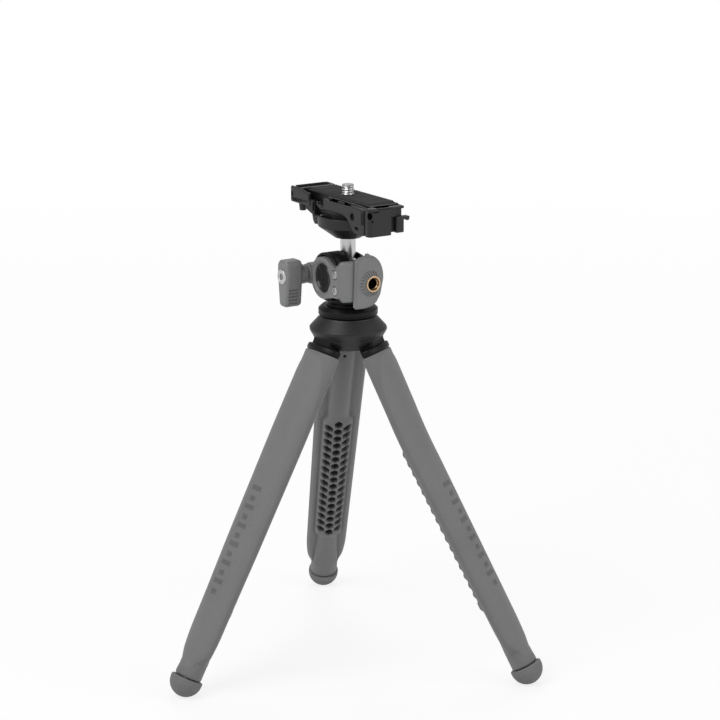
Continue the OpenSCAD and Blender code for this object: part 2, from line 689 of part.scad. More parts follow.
// Sliding jaw: end block with a hook over the plate, a groove and a flange on its far side
module right_jaw() {
    hook = base_x[1] + 0.3;
    color(black) on_head() difference() {
        union() {
            box([jaw_x, -bracket_half, base_z - 1], [jaw_reach, bracket_half - 1.6, plate_top]);
            translate([0, lever_y + 0.4, 0]) y_slab(bracket_half - 1.6 - lever_y - 0.4)
                polygon([[jaw_x, top_z + 1.9], [hook - 0.9, plate_top], [jaw_x, plate_top]]);
            box([jaw_x, bracket_half - 1.7, plate_top - 7.8], [jaw_reach, bracket_half + 1.8, plate_top - 5.6]);
        }
        box([jaw_x - 1, -bracket_half - 1, base_z - 3], [jaw_x + 2, lever_y + 0.4, plate_top + 1]);
        box([jaw_reach - 2.6, 1.8, base_z - 0.2], [jaw_reach + 1, 5.2, plate_top - 2.2]);
        translate([jaw_reach - 3, 1.7 - bracket_half, plate_top - 3.4]) x_rod(1.2, 10);
        translate([jaw_reach - 1, 3.1 - bracket_half, plate_top - 6.2]) x_rod(0.5, 10);
        for (y = rod_ys) translate([jaw_x - 1, y, rod_z]) x_rod(1.5 + seat_fit, 3.6);
    }
}

module guide_rods() {
    color(steel) on_head() for (y = rod_ys) translate([jaw_x - 16, y, rod_z]) x_rod(1.5, 18.4);
}

// Quick release plate that slides out to the rear
module top_plate() {
    color(black) on_head() difference() {
        translate([0, lever_y + 0.4, 0]) y_slab(bracket_half - lever_y - 0.4)
            polygon([[plate_ends[0], top_z], [plate_ends[1], top_z], [plate_ends[1], top_z + 1.7],
                [plate_ends[1] - 1.3, plate_top], [plate_ends[0] + 1.3, plate_top], [plate_ends[0], top_z + 1.7]]);
        translate([0, 0, top_z - 1]) cylinder(r = 2.6 + run_fit, h = 20);
        translate([0, 0, top_z - 1]) cylinder(r = 5.4, h = 3.2);
    }
}

module plate_pad() {
    color(rubber) on_head() translate([0, 0, plate_top]) difference() {
        box([plate_ends[0] + 3, lever_y + 1.4, 0], [plate_ends[1] - 3, bracket_half - 1, pad_h]);
        translate([0, 0, -1]) cylinder(r = screw_r + 0.8, h = 20);
        for (k = [-5:5]) if (abs(k) > 1) box([k * 4.4 - 0.5, lever_y + 1, pad_h - 0.4], [k * 4.4 + 0.5, 20, pad_h + 1]);
    }
}

// Captive camera screw: coin slotted head, plain neck, quarter inch thread above the pad
module camera_screw() {
    color(steel) on_head() difference() {
        union() {
            translate([0, 0, top_z + 0.2]) cylinder(r = 5, h = 1.7);
            translate([0, 0, top_z + 1]) cylinder(r = 2.6, h = top_h + pad_h);
            translate([0, 0, plate_top + pad_h]) cylinder(r = screw_r, h = screw_len);
        }
        box([-0.7, -6, top_z - 1], [0.7, 6, top_z + 0.9]);
    }
}

module leg_a_head() { leg_head(0); }
module leg_a_upper() { leg_rubber(0, 0); }
module leg_a_middle() { leg_rubber(0, 1); }
module leg_a_lower() { leg_rubber(0, 2); }
module leg_a_end() { leg_rubber(0, 3); }
module leg_a_core_upper() { leg_core(0, 0); }
module leg_a_core_middle() { leg_core(0, 1); }
module leg_a_core_lower() { leg_core(0, 2); }
module leg_a_core_end() { leg_core(0, 3); }
module leg_a_foot() { leg_foot(0); }
module leg_b_head() { leg_head(1); }
module leg_b_upper() { leg_rubber(1, 0); }
module leg_b_middle() { leg_rubber(1, 1); }
module leg_b_lower() { leg_rubber(1, 2); }
module leg_b_end() { leg_rubber(1, 3); }
module leg_b_core_upper() { leg_core(1, 0); }
module leg_b_core_middle() { leg_core(1, 1); }
module leg_b_core_lower() { leg_core(1, 2); }
module leg_b_core_end() { leg_core(1, 3); }
module leg_b_foot() { leg_foot(1); }
module leg_c_head() { leg_head(2); }
module leg_c_upper() { leg_rubber(2, 0); }
module leg_c_middle() { leg_rubber(2, 1); }
module leg_c_lower() { leg_rubber(2, 2); }
module leg_c_end() { leg_rubber(2, 3); }
module leg_c_core_upper() { leg_core(2, 0); }
module leg_c_core_middle() { leg_core(2, 1); }
module leg_c_core_lower() { leg_core(2, 2); }
module leg_c_core_end() { leg_core(2, 3); }
module leg_c_foot() { leg_foot(2); }

hub();
leg_pins();
pan_bolt();
bolt_nut();
base_disc();
ball_socket();
ball_seat();
clamp_band();
band_screws();
badge_disc();
side_plate();
thread_insert();
clamp_collar();
knob();
knob_screw();
clamp_rod();
ball();
stem();
stem_screw();
dish();
bracket_base();
left_arm();
lever_pin();
lever();
right_jaw();
guide_rods();
top_plate();
plate_pad();
camera_screw();
leg_a_head();
leg_a_upper();
leg_a_middle();
leg_a_lower();
leg_a_end();
leg_a_core_upper();
leg_a_core_middle();
leg_a_core_lower();
leg_a_core_end();
leg_a_foot();
leg_b_head();
leg_b_upper();
leg_b_middle();
leg_b_lower();
leg_b_end();
leg_b_core_upper();
leg_b_core_middle();
leg_b_core_lower();
leg_b_core_end();
leg_b_foot();
leg_c_head();
leg_c_upper();
leg_c_middle();
leg_c_lower();
leg_c_end();
leg_c_core_upper();
leg_c_core_middle();
leg_c_core_lower();
leg_c_core_end();
leg_c_foot();
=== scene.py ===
"""Looks of a flexible leg tripod: three rubber legs, a hub, a ball head and a quick release bracket.

Each new piece is a surface worked out with numpy in millimetres, and put into Blender in metres in the
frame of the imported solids. Finishes are node materials on Object coordinates.
"""

import logging
from dataclasses import dataclass, field
from enum import Enum
from typing import Iterable, Sequence

import bpy
import numpy as np
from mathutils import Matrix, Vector
from mathutils.geometry import tessellate_polygon


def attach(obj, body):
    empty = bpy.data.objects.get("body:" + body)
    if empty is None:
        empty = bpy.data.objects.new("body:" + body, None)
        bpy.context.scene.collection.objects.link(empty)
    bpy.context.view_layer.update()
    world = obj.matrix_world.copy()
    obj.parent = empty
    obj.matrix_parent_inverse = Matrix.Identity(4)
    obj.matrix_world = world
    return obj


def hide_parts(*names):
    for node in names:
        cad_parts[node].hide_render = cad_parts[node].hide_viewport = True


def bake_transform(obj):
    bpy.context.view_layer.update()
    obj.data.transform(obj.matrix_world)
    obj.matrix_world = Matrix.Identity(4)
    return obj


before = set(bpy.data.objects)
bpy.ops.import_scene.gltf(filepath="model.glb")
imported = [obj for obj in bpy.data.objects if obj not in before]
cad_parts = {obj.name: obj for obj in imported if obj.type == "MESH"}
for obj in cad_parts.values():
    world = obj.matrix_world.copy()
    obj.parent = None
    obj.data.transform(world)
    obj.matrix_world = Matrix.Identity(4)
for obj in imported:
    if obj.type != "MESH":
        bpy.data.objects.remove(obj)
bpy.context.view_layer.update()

logging.basicConfig(level=logging.INFO, format="%(message)s")
log = logging.getLogger("tripod")

Array = np.ndarray
Outline = Sequence[tuple[float, float]]
Socket = bpy.types.NodeSocket
MM = 0.001
THREAD_PITCH = 1.27
NOISE_REACH = (0.3, 0.7)
# Share of the colour left where the painted shade is full.
PAINTED_SHADE_LEVEL = 0.04


def smooth(low: float, high: float, value: Array) -> Array:
    """Smooth step: 0 below low, 1 above high, with a cubic between them."""
    t = np.clip((value - low) / (high - low), 0.0, 1.0)
    return t * t * (3 - 2 * t)


def turn(axis: str, degrees: float) -> Array:
    """4 by 4 matrix of a right handed turn about one axis through the origin.

    Args:
        axis: "x", "y" or "z".
        degrees: Angle of the turn.

    Returns:
        The matrix.
    """
    c, s = np.cos(np.radians(degrees)), np.sin(np.radians(degrees))
    i, j = {"x": (1, 2), "y": (2, 0), "z": (0, 1)}[axis]
    m = np.eye(4)
    m[i, i], m[i, j], m[j, i], m[j, j] = c, -s, s, c
    return m


def shift(x: float, y: float, z: float) -> Array:
    """4 by 4 matrix of a move."""
    m = np.eye(4)
    m[:3, 3] = x, y, z
    return m


class Lie(Enum):
    """How a flat outline and its thickness lie: the axes that its first, second and third number follow."""

    ALONG_Y = (0, 2, 1)
    ALONG_X = (1, 2, 0)

    def matrix(self) -> Array:
        """4 by 4 matrix that carries the outline's numbers to their axes."""
        m = np.zeros((4, 4))
        m[list(self.value), range(3)] = 1
        m[3, 3] = 1
        return m


@dataclass
class Patch:
    """Points of a mesh in millimetres, its quads, its other faces and a painted shade value for each point."""

    points: Array
    quads: Array = field(default_factory=lambda: np.zeros((0, 4), int))
    fills: list[list[int]] = field(default_factory=list)
    dark: Array | None = None
    normals: Array | None = None

    def moved(self, matrix: Array) -> "Patch":
        """The patch carried by a 4 by 4 matrix; a matrix that mirrors also turns its faces round.

        Args:
            matrix: The 4 by 4 matrix.

        Returns:
            A new patch.
        """
        linear = matrix[:3, :3]
        points = self.points @ linear.T + matrix[:3, 3]
        normals = None if self.normals is None else self.normals @ linear.T
        patch = Patch(points, self.quads, self.fills, self.dark, normals)
        return patch if np.linalg.det(linear) > 0 else patch.flipped()

    def flipped(self) -> "Patch":
        """The patch with its faces turned round."""
        return Patch(self.points, self.quads[:, ::-1], [f[::-1] for f in self.fills], self.dark, self.normals)

    def laid(self, lie: Lie, *place: float) -> "Patch":
        """The patch with its numbers on other axes, then moved to a place."""
        return self.moved(shift(*(place or (0, 0, 0))) @ lie.matrix())

    @staticmethod
    def join(patches: Iterable["Patch"]) -> "Patch":
        """One patch that holds several.

        Args:
            patches: The patches, none of which carries darkness or normals.

        Returns:
            The joined patch.
        """
        parts = list(patches)
        starts = np.cumsum([0] + [len(p.points) for p in parts])
        return Patch(
            np.concatenate([p.points for p in parts]),
            np.concatenate([p.quads + n for p, n in zip(parts, starts)]),
            [[i + int(n) for i in f] for p, n in zip(parts, starts) for f in p.fills],
        )


def grid_quads(rows: int, columns: int, ring: bool = True, loop: bool = False) -> Array:
    """Quads of a grid of points that is stored row by row.

    Args:
        rows: Number of rows.
        columns: Points in a row.
        ring: Whether each row closes on itself.
        loop: Whether the last row joins the first.

    Returns:
        Four indices for each quad, wound so that a grid of rows that rise, each counterclockwise, faces out.
    """
    i = np.arange(rows if loop else rows - 1)[:, None]
    j = np.arange(columns if ring else columns - 1)[None, :]
    below, above = i * columns, (i + 1) % rows * columns
    right = (j + 1) % columns
    return np.stack([below + j, below + right, above + right, above + j], axis=-1).reshape(-1, 4)


def rounded(corners: Outline, radii: float | Sequence[float], steps: int = 5, closed: bool = True) -> Array:
    """Outline whose corners are arcs that touch both edges.

    At a corner with half angle h the arc of radius r touches each edge r / tan h away, and its points turn
    from one touching point to the other about a centre on the bisector.

    Args:
        corners: The corner points.
        radii: One radius, or one for each corner; a radius is cut down where an edge is short.
        steps: Segments in each arc.
        closed: Whether the last corner joins the first.

    Returns:
        Points of the outline.
    """
    p = np.asarray(corners, float)
    r = np.broadcast_to(np.asarray(radii, float), len(p))
    runs = []
    for i, corner in enumerate(p):
        a, b = p[i - 1] - corner, p[(i + 1) % len(p)] - corner
        la, lb = np.linalg.norm(a), np.linalg.norm(b)
        cosine = np.clip(a @ b / (la * lb), -1, 1)
        half = 0.5 * np.arccos(cosine)
        arc = np.pi - 2 * half
        if r[i] <= 0 or arc < 1e-3 or (not closed and i in (0, len(p) - 1)):
            runs.append(corner[None])
            continue
        reach = min(r[i] / np.tan(half), 0.49 * la, 0.49 * lb)
        a, b = a / la, b / lb
        centre = corner + (a + b) / np.linalg.norm(a + b) * reach / np.cos(half)
        t = np.linspace(0, 1, steps + 1)[:, None]
        start, end = corner + a * reach - centre, corner + b * reach - centre
        runs.append(centre + (np.sin((1 - t) * arc) * start + np.sin(t * arc) * end) / np.sin(arc))
    return np.concatenate(runs)


def circle(radius: float, sides: int = 64, centre: tuple[float, float] = (0, 0)) -> Array:
    """Points of a circle, or of a regular polygon with few sides, counterclockwise."""
    a = np.arange(sides) * 2 * np.pi / sides
    return np.stack([np.cos(a), np.sin(a)], axis=1) * radius + np.asarray(centre)


def bar(x0: float, y0: float, x1: float, y1: float, radius: float = 0.5) -> Array:
    """Rectangle with rounded corners, counterclockwise."""
    return rounded([(x0, y0), (x1, y0), (x1, y1), (x0, y1)], radius)


def inset(loop: Array, depth: float) -> Array:
    """Loop whose points are moved to its left, so that both edges of each shift by the same depth.

    Args:
        loop: Points of a closed loop.
        depth: How far the edges shift.

    Returns:
        The moved points.
    """
    edge = np.roll(loop, -1, axis=0) - loop
    edge /= np.linalg.norm(edge, axis=1, keepdims=True)
    left = np.stack([-edge[:, 1], edge[:, 0]], axis=1)
    mitre = left + np.roll(left, 1, axis=0)
    return loop + depth * mitre * 2 / np.maximum((mitre**2).sum(axis=1, keepdims=True), 0.6)


def slab(outline: Array, low: float, high: float, bevel: float = 0.4, holes: Sequence[Array] = (),
         hole_bevel: float = 0.2, steps: int = 3) -> Patch:
    """Plate between two heights, with rounded rims and holes through it.

    A wall is a grid: along it runs the loop, and up it run a quarter circle, a straight part and a second
    quarter circle, each an inset of the loop at a height. Flat fills close both ends.

    Args:
        outline: Counterclockwise outline.
        low: Height of the lower face.
        high: Height of the upper face.
        bevel: Radius of the outer rims.
        holes: Counterclockwise outlines of the holes.
        hole_bevel: Radius of the rims of the holes.
        steps: Segments in each rim.

    Returns:
        The closed patch.
    """
    a = np.linspace(0, np.pi / 2, steps + 1)
    walls: list[Patch] = []
    rims: list[Array] = []
    for loop, r in [(np.asarray(outline), bevel)] + [(np.asarray(h)[::-1], hole_bevel) for h in holes]:
        depth = np.concatenate([r * (1 - np.sin(a)), r * (1 - np.cos(a))])
        height = np.concatenate([low + r * (1 - np.cos(a)), high - r * (1 - np.sin(a))])
        rows = [np.column_stack([inset(loop, d), np.full(len(loop), z)]) for d, z in zip(depth, height)]
        walls.append(Patch(np.concatenate(rows), grid_quads(len(rows), len(loop))))
        rims.append(rows[0])
    body = Patch.join(walls)
    starts = np.cumsum([0] + [len(w.points) for w in walls[:-1]])
    bottom = np.concatenate([n + np.arange(len(rim)) for n, rim in zip(starts, rims)])
    top = np.concatenate([n + len(w.points) - len(rim) + np.arange(len(rim))
                          for n, w, rim in zip(starts, walls, rims)])
    if len(rims) == 1:
        body.fills = [bottom[::-1].tolist(), top.tolist()]
        return body
    flat = np.concatenate(rims)
    for tri in tessellate_polygon([[Vector(p) for p in rim] for rim in rims]):
        p, q, s = flat[list(tri), :2]
        up = list(tri) if np.cross(q - p, s - p) > 0 else list(tri)[::-1]
        body.fills += [top[up].tolist(), bottom[up[::-1]].tolist()]
    return body


def upright(outline: Array, low: float, high: float, bevel: float = 0.4, **rest: object) -> Patch:
    """A slab that stands: its outline lies in X and Z, and its thickness runs along Y."""
    return slab(outline, low, high, bevel, **rest).laid(Lie.ALONG_Y)


def end_fills(columns: int, last: int, first: int = 0) -> list[list[int]]:
    """Flat faces on two rings of points, of which the first is turned round."""
    return [list(range(first, first + columns))[::-1], list(range(last, last + columns))]


def lathe(profile: Outline | Array, sides: int = 96, tube: bool = False, relief: Array | float = 0.0) -> Patch:
    """Surface of revolution about Z: each point of the profile, a radius and a height, becomes a circle.

    Args:
        profile: Radius and height pairs, going up on the outside.
        sides: Points of each circle.
        tube: Whether the profile is a closed loop; if not, flat fills close both ends.
        relief: What is added to the radius, for each point of the profile and each side.

    Returns:
        The closed patch.
    """
    p = np.asarray(profile, float)
    a = np.arange(sides) * 2 * np.pi / sides
    r = p[:, :1] + relief
    points = np.stack([r * np.cos(a), r * np.sin(a), p[:, 1:] + 0 * a], axis=-1).reshape(-1, 3)
    ends = [] if tube else end_fills(sides, (len(p) - 1) * sides)
    return Patch(points, grid_quads(len(p), sides, loop=tube), ends)


def sector(profile: Outline | Array, start: float, stop: float, steps: int = 48) -> Patch:
    """Part of a surface of revolution about Z: a closed profile carried from one angle to another.

    Args:
        profile: Radius and height pairs of a closed loop, going up on the outside.
        start: First angle in degrees.
        stop: Last angle in degrees.
        steps: Segments between them.

    Returns:
        The closed patch.
    """
    p = np.asarray(profile, float)
    a = np.radians(np.linspace(start, stop, steps + 1))[:, None]
    points = np.stack([np.cos(a) * p[:, 0], np.sin(a) * p[:, 0], 0 * a + p[:, 1]], axis=-1)
    n = len(p)
    return Patch(points.reshape(-1, 3), grid_quads(steps + 1, n), end_fills(n, steps * n)).flipped()


def thread_relief(heights: Array, pitch: float, depth: float, sides: int = 96) -> Array:
    """Relief of a screw thread for a lathe.

    A triangle wave of height / pitch minus the angle's share of a turn makes one helix, and it fades out over
    half a pitch at both ends.

    Args:
        heights: Heights of the threaded rows.
        pitch: Height of one turn.
        depth: Depth of the thread, taken off the radius.
        sides: Points of each circle.

    Returns:
        Values from -depth to 0, of shape (heights, sides).
    """
    z = heights[:, None]
    wave = np.abs((z / pitch - np.arange(sides) / sides) % 1 * 2 - 1)
    fade = np.clip(np.minimum(z - z.min(), z.max() - z) / (0.5 * pitch), 0, 1)
    return -depth * wave * fade


def dense(loop: Array, step: float) -> Array:
    """Closed outline with extra points on its edges.

    Args:
        loop: Points of the outline.
        step: Length that no edge passes.

    Returns:
        The points with those added.
    """
    ends = np.roll(loop, -1, axis=0)
    counts = np.maximum(1, np.ceil(np.linalg.norm(ends - loop, axis=1) / step)).astype(int)
    return np.concatenate([p + (q - p) * np.arange(n)[:, None] / n for p, q, n in zip(loop, ends, counts)])


@dataclass
class Graph:
    """Node tree of a material or of the world, with short ways to add to it."""

    tree: bpy.types.NodeTree

    def new(self, kind: str) -> bpy.types.Node:
        """A new shader node."""
        return self.tree.nodes.new(f"ShaderNode{kind}")

    def link(self, source: Socket, target: Socket) -> None:
        """Joins an output to an input."""
        self.tree.links.new(source, target)

    def math(self, operation: str, first: Socket, second: Socket, clamp: bool = False) -> Socket:
        """Two values put together by a Math node.

        Args:
            operation: What the node does.
            first: First value.
            second: Second value.
            clamp: Whether the result is kept between 0 and 1.

        Returns:
            The socket of the result.
        """
        node = self.new("Math")
        node.operation, node.use_clamp = operation, clamp
        self.link(first, node.inputs[0])
        self.link(second, node.inputs[1])
        return node.outputs["Value"]

    def ranged(self, source: Socket, reach: tuple[float, float], low: float, high: float) -> Socket:
        """A value carried from one range to another.

        Args:
            source: The value.
            reach: The range that it has.
            low: Result at the start of that range.
            high: Result at its end.

        Returns:
            The socket of the result.
        """
        node = self.new("MapRange")
        for name, value in zip(("From Min", "From Max", "To Min", "To Max"), (*reach, low, high)):
            node.inputs[name].default_value = value
        self.link(source, node.inputs["Value"])
        return node.outputs["Result"]


@dataclass(frozen=True)
class Finish:
    """A procedural finish: a base colour with broad drift and fine grain and a bump of the same grain; with pocket set,
    the colour also takes painted shade from the mesh's 'dark' attribute.

    Sizes are in millimetres. Colours are linear.
    """

    name: str
    slot: str
    colour: tuple[float, float, float]
    roughness: float
    metallic: float = 0.0
    drift: float = 0.06
    drift_size: float = 14.0
    grain: float = 0.08
    grain_size: float = 0.35
    bump: float = 0.02
    stretch: tuple[float, float, float] = (1.0, 1.0, 1.0)
    specular: float = 0.5
    sheen: float = 0.0
    # With pocket set, the 'dark' attribute puts painted shade into the colour.
    pocket: bool = False

    def noise(self, graph: Graph, size: float, detail: float) -> Socket:
        """Noise on stretched Object coordinates.

        Args:
            graph: Node tree of the material.
            size: Size of a spot in millimetres.
            detail: Octaves of the noise.

        Returns:
            The socket that carries the noise, mostly from 0.3 to 0.7.
        """
        place, mapping, noise = (graph.new(kind) for kind in ("TexCoord", "Mapping", "TexNoise"))
        mapping.inputs["Scale"].default_value = self.stretch
        noise.inputs["Scale"].default_value = 1 / (size * MM)
        noise.inputs["Detail"].default_value = detail
        graph.link(place.outputs["Object"], mapping.inputs["Vector"])
        graph.link(mapping.outputs["Vector"], noise.inputs["Vector"])
        return noise.outputs["Fac"]

    def material(self) -> bpy.types.Material:
        """The node material of this finish, made once.

        Returns:
            The material.
        """
        made = bpy.data.materials.get(self.name)
        if made is not None:
            return made
        made = bpy.data.materials.new(self.name)
        made.use_nodes = True
        graph = Graph(made.node_tree)
        shader = made.node_tree.nodes["Principled BSDF"]
        broad, fine = self.noise(graph, self.drift_size, 3), self.noise(graph, self.grain_size, 4)
        value = graph.math("MULTIPLY", graph.ranged(broad, NOISE_REACH, 1 - self.drift, 1 + self.drift),
                           graph.ranged(fine, NOISE_REACH, 1 - self.grain, 1 + self.grain))
        # Painted shade: the 'dark' attribute darkens the colour, down to the painted shade level where it is 1.
        if self.pocket:
            depth = graph.new("Attribute")
            depth.attribute_name = "dark"
            value = graph.math("MULTIPLY", value, graph.ranged(depth.outputs["Fac"], (0, 1), 1, PAINTED_SHADE_LEVEL))
        tint = graph.new("VectorMath")
        tint.operation = "SCALE"
        tint.inputs[0].default_value = self.colour
        graph.link(value, tint.inputs["Scale"])
        graph.link(tint.outputs["Vector"], shader.inputs["Base Color"])
        rough = graph.ranged(broad, NOISE_REACH, self.roughness * 0.92, min(1.0, self.roughness * 1.08))
        graph.link(rough, shader.inputs["Roughness"])
        bump = graph.new("Bump")
        bump.inputs["Strength"].default_value = 1.0
        bump.inputs["Distance"].default_value = self.bump * MM
        graph.link(fine, bump.inputs["Height"])
        graph.link(bump.outputs["Normal"], shader.inputs["Normal"])
        for name, level in (("Metallic", self.metallic), ("Specular IOR Level", self.specular),
                            ("Sheen Weight", self.sheen)):
            shader.inputs[name].default_value = level
        return made


# The leg skin's painted shade, in its pockets, sunk marks and outside the raised shell, comes through this finish.
LEG_RUBBER = Finish("leg_rubber_matt_painted_shade", "leg_rubber", (0.150, 0.150, 0.150), 0.62, drift=0.05, drift_size=22,
                    grain=0.07, grain_size=0.5, bump=0.03, specular=0.35, sheen=0.08, pocket=True)
FOOT_RUBBER = Finish("foot_rubber", "leg_rubber", (0.145, 0.145, 0.145), 0.68, grain=0.08, grain_size=0.6,
                     bump=0.04, specular=0.3)
GREY_PAINT = Finish("grey_paint_fine", "grey_paint", (0.165, 0.166, 0.168), 0.42, grain=0.12, grain_size=0.22,
                    bump=0.03, specular=0.5)
BLACK_PLASTIC = Finish("black_plastic_matt", "black_plastic", (0.013, 0.013, 0.014), 0.44, grain=0.2,
                       grain_size=0.3, bump=0.035, specular=0.36)
BLACK_METAL = Finish("black_anodised", "black_plastic", (0.006, 0.006, 0.006), 0.38, grain=0.15, grain_size=0.2,
                     bump=0.01, specular=0.16)
GLOSS_BLACK = Finish("gloss_black", "gloss_black", (0.005, 0.005, 0.005), 0.2, drift=0.02, grain=0.02, bump=0.002,
                     specular=0.07)
CHROME = Finish("chrome_polished", "chrome", (0.55, 0.55, 0.56), 0.27, metallic=1.0, drift=0.03, grain=0.03,
                grain_size=0.5, bump=0.002, stretch=(1.0, 1.0, 6.0))
STEEL = Finish("steel_satin", "steel", (0.56, 0.56, 0.57), 0.3, metallic=1.0, drift=0.04, grain=0.08,
               grain_size=0.25, bump=0.006)
DULL_STEEL = Finish("steel_dull", "steel", (0.48, 0.48, 0.49), 0.4, metallic=0.9, drift=0.04, grain=0.1,
                    grain_size=0.25, bump=0.01)
CORE_METAL = Finish("core_aluminium", "core_metal", (0.55, 0.55, 0.55), 0.4, metallic=1.0)
BRASS = Finish("brass_turned", "brass", (0.56, 0.40, 0.25), 0.3, metallic=1.0, drift=0.05, grain=0.08,
               grain_size=0.25, bump=0.006)
PAD_RUBBER = Finish("pad_rubber", "pad_rubber", (0.02, 0.02, 0.02), 0.75, grain=0.2, grain_size=0.4, bump=0.05,
                    specular=0.3)
# Painted shade: near black sheets laid where holes and slots lie in shadow.
DEEP_SHADE = Finish("deep_shade", "black_plastic", (0.0012, 0.0012, 0.0012), 0.9, drift=0.0, grain=0.0, bump=0.0,
                    specular=0.02)
NYLON = Finish("nylon_plain", "nylon", (0.03, 0.03, 0.03), 0.5, grain=0.1, grain_size=0.4, bump=0.01)


class Maker:
    """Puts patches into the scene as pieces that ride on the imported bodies."""

    def mesh(self, name: str, patch: Patch, finish: Finish, sharp: float) -> bpy.types.Object:
        """A mesh object at the origin, its points in metres.

        Args:
            name: Name of the piece.
            patch: Its points and faces.
            finish: Its finish.
            sharp: Angle in degrees above which an edge stays sharp.

        Returns:
            The object, linked to the scene.
        """
        mesh = bpy.data.meshes.new(name)
        fills = [np.asarray(f) for f in patch.fills]
        corners = np.concatenate([patch.quads.ravel(), *fills]).astype(np.int32)
        sizes = np.array([4] * len(patch.quads) + [len(f) for f in fills], np.int32)
        mesh.vertices.add(len(patch.points))
        mesh.vertices.foreach_set("co", (patch.points * MM).astype(np.float32).ravel())
        mesh.loops.add(len(corners))
        mesh.loops.foreach_set("vertex_index", corners)
        mesh.polygons.add(len(sizes))
        mesh.polygons.foreach_set("loop_start", np.concatenate([[0], np.cumsum(sizes)[:-1]]).astype(np.int32))
        mesh.polygons.foreach_set("loop_total", sizes)
        mesh.polygons.foreach_set("use_smooth", np.ones(len(sizes), bool))
        mesh.update(calc_edges=True)
        # The painted shade of each point is kept in the 'dark' attribute.
        if patch.dark is not None:
            attribute = mesh.attributes.new("dark", "FLOAT", "POINT")
            attribute.data.foreach_set("value", patch.dark.astype(np.float32))
        if patch.normals is not None:
            mesh.normals_split_custom_set_from_vertices(patch.normals.astype(np.float32))
        else:
            mesh.set_sharp_from_angle(angle=np.radians(sharp))
        mesh.materials.append(finish.material())
        piece = bpy.data.objects.new(name, mesh)
        bpy.context.scene.collection.objects.link(piece)
        return piece

    def add(self, name: str, patch: Patch, finish: Finish, body: str, *nodes: str,
            sharp: float = 50) -> bpy.types.Object:
        """A rigid piece on a body, which stands for the named CAD nodes.

        Args:
            name: Name of the piece.
            patch: Its points and faces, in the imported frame.
            finish: Its finish.
            body: Body that it rides on.
            *nodes: CAD nodes that it replaces.
            sharp: Angle in degrees above which an edge stays sharp.

        Returns:
            The piece.
        """
        piece = self.mesh(name, patch, finish, sharp)
        weighted = piece.modifiers.new("flat faces stay flat", "WEIGHTED_NORMAL")
        weighted.keep_sharp = True
        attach(piece, body)
        if nodes:
            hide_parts(*nodes)
        log.info("%s on %s: %d points", name, body, len(patch.points))
        return piece

    def keep(self, node: str, finish: Finish) -> None:
        """Leaves a CAD node in place, with a finish.

        Args:
            node: Name of the node.
            finish: Its finish.
        """
        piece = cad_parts[node]
        piece.data.materials.clear()
        piece.data.materials.append(finish.material())
        log.info("%s kept", node)


@dataclass
class Layout:
    """Sizes that the sub-assemblies share, in millimetres and degrees, and the frames that they stand in."""

    leg_spread: float = 28.6
    leg_length: float = 190.3
    leg_turns: tuple[float, float, float] = (2.5, 0.4, -1.7)
    leg_bends: tuple[float, float, float] = (0.0, 0.0, 3.2)
    leg_twists: tuple[float, float, float] = (0.0, 4.0, 0.0)
    foot_r: float = 8.5
    foot_flat: float = 0.35
    pivot_r: float = 12.2
    hub_h: float = 10.0
    head_turn: float = -63.2
    disc_r: float = 15.5
    disc_h: float = 5.0
    ball_lift: float = 15.7
    barrel_r: float = 12.4
    stem_free: float = 7.6
    dish_h: float = 8.8
    gap: float = 0.5

    def __post_init__(self) -> None:
        """Works out the heights and places that follow from the sizes."""
        drop = self.leg_length * np.cos(np.radians(self.leg_spread))
        self.pivot_z = drop + self.foot_r - self.foot_flat
        self.bend_s = self.leg_length * 0.294
        low, bend = self.leg_length - self.bend_s, np.radians(self.leg_bends)
        down, out = self.bend_s + low * np.cos(bend), low * np.sin(bend)
        fold = np.arccos(drop / np.hypot(down, out)) - np.arctan2(out, down)
        self.folds = np.degrees(fold)
        self.leg_az = np.array([90, 210, 330]) + self.leg_turns
        self.shield_az = (self.leg_az + np.roll(self.leg_az, -1) + np.array([0, 0, 360])) / 2
        reach = self.pivot_r + self.bend_s * np.sin(fold) + low * np.sin(fold + bend)
        foot_x, foot_y = (reach * f(np.radians(self.leg_az)) for f in (np.cos, np.sin))
        self.axis_x = -(foot_x[1] + foot_x[2]) / 2
        self.axis_y = -(foot_y[0] + min(foot_y[1:])) / 2
        self.hub_z = self.pivot_z + 1.8
        self.hub_top = self.hub_z + self.hub_h
        self.disc_z = self.hub_top + self.gap
        self.disc_top = self.disc_z + self.disc_h
        self.ball_z = self.disc_top + self.ball_lift
        self.dish_z = self.ball_z + self.barrel_r + self.stem_free
        self.base_z = self.dish_z + self.dish_h
        self.shelf_z = self.base_z + 8.1
        self.top_z = self.shelf_z + 0.1

    def axis(self) -> Array:
        """Frame of the tripod's axis, on the floor."""
        return shift(self.axis_x, self.axis_y, 0)

    def head(self) -> Array:
        """Frame of the head: +X is the side plate's face, -Y the badge's."""
        return self.axis() @ turn("z", self.head_turn)

    def leg(self, k: int) -> Array:
        """Frame of leg k at its pivot: the leg runs down -Z and +X faces outward."""
        return (self.axis() @ turn("z", self.leg_az[k]) @ shift(self.pivot_r, 0, self.pivot_z)
                @ turn("y", -self.folds[k]))

    def leg_set(self, k: int) -> Array:
        """Turn at the first bend that the lower parts of leg k have in the leg's frame."""
        return shift(0, 0, -self.bend_s) @ turn("y", -self.leg_bends[k]) @ shift(0, 0, self.bend_s)


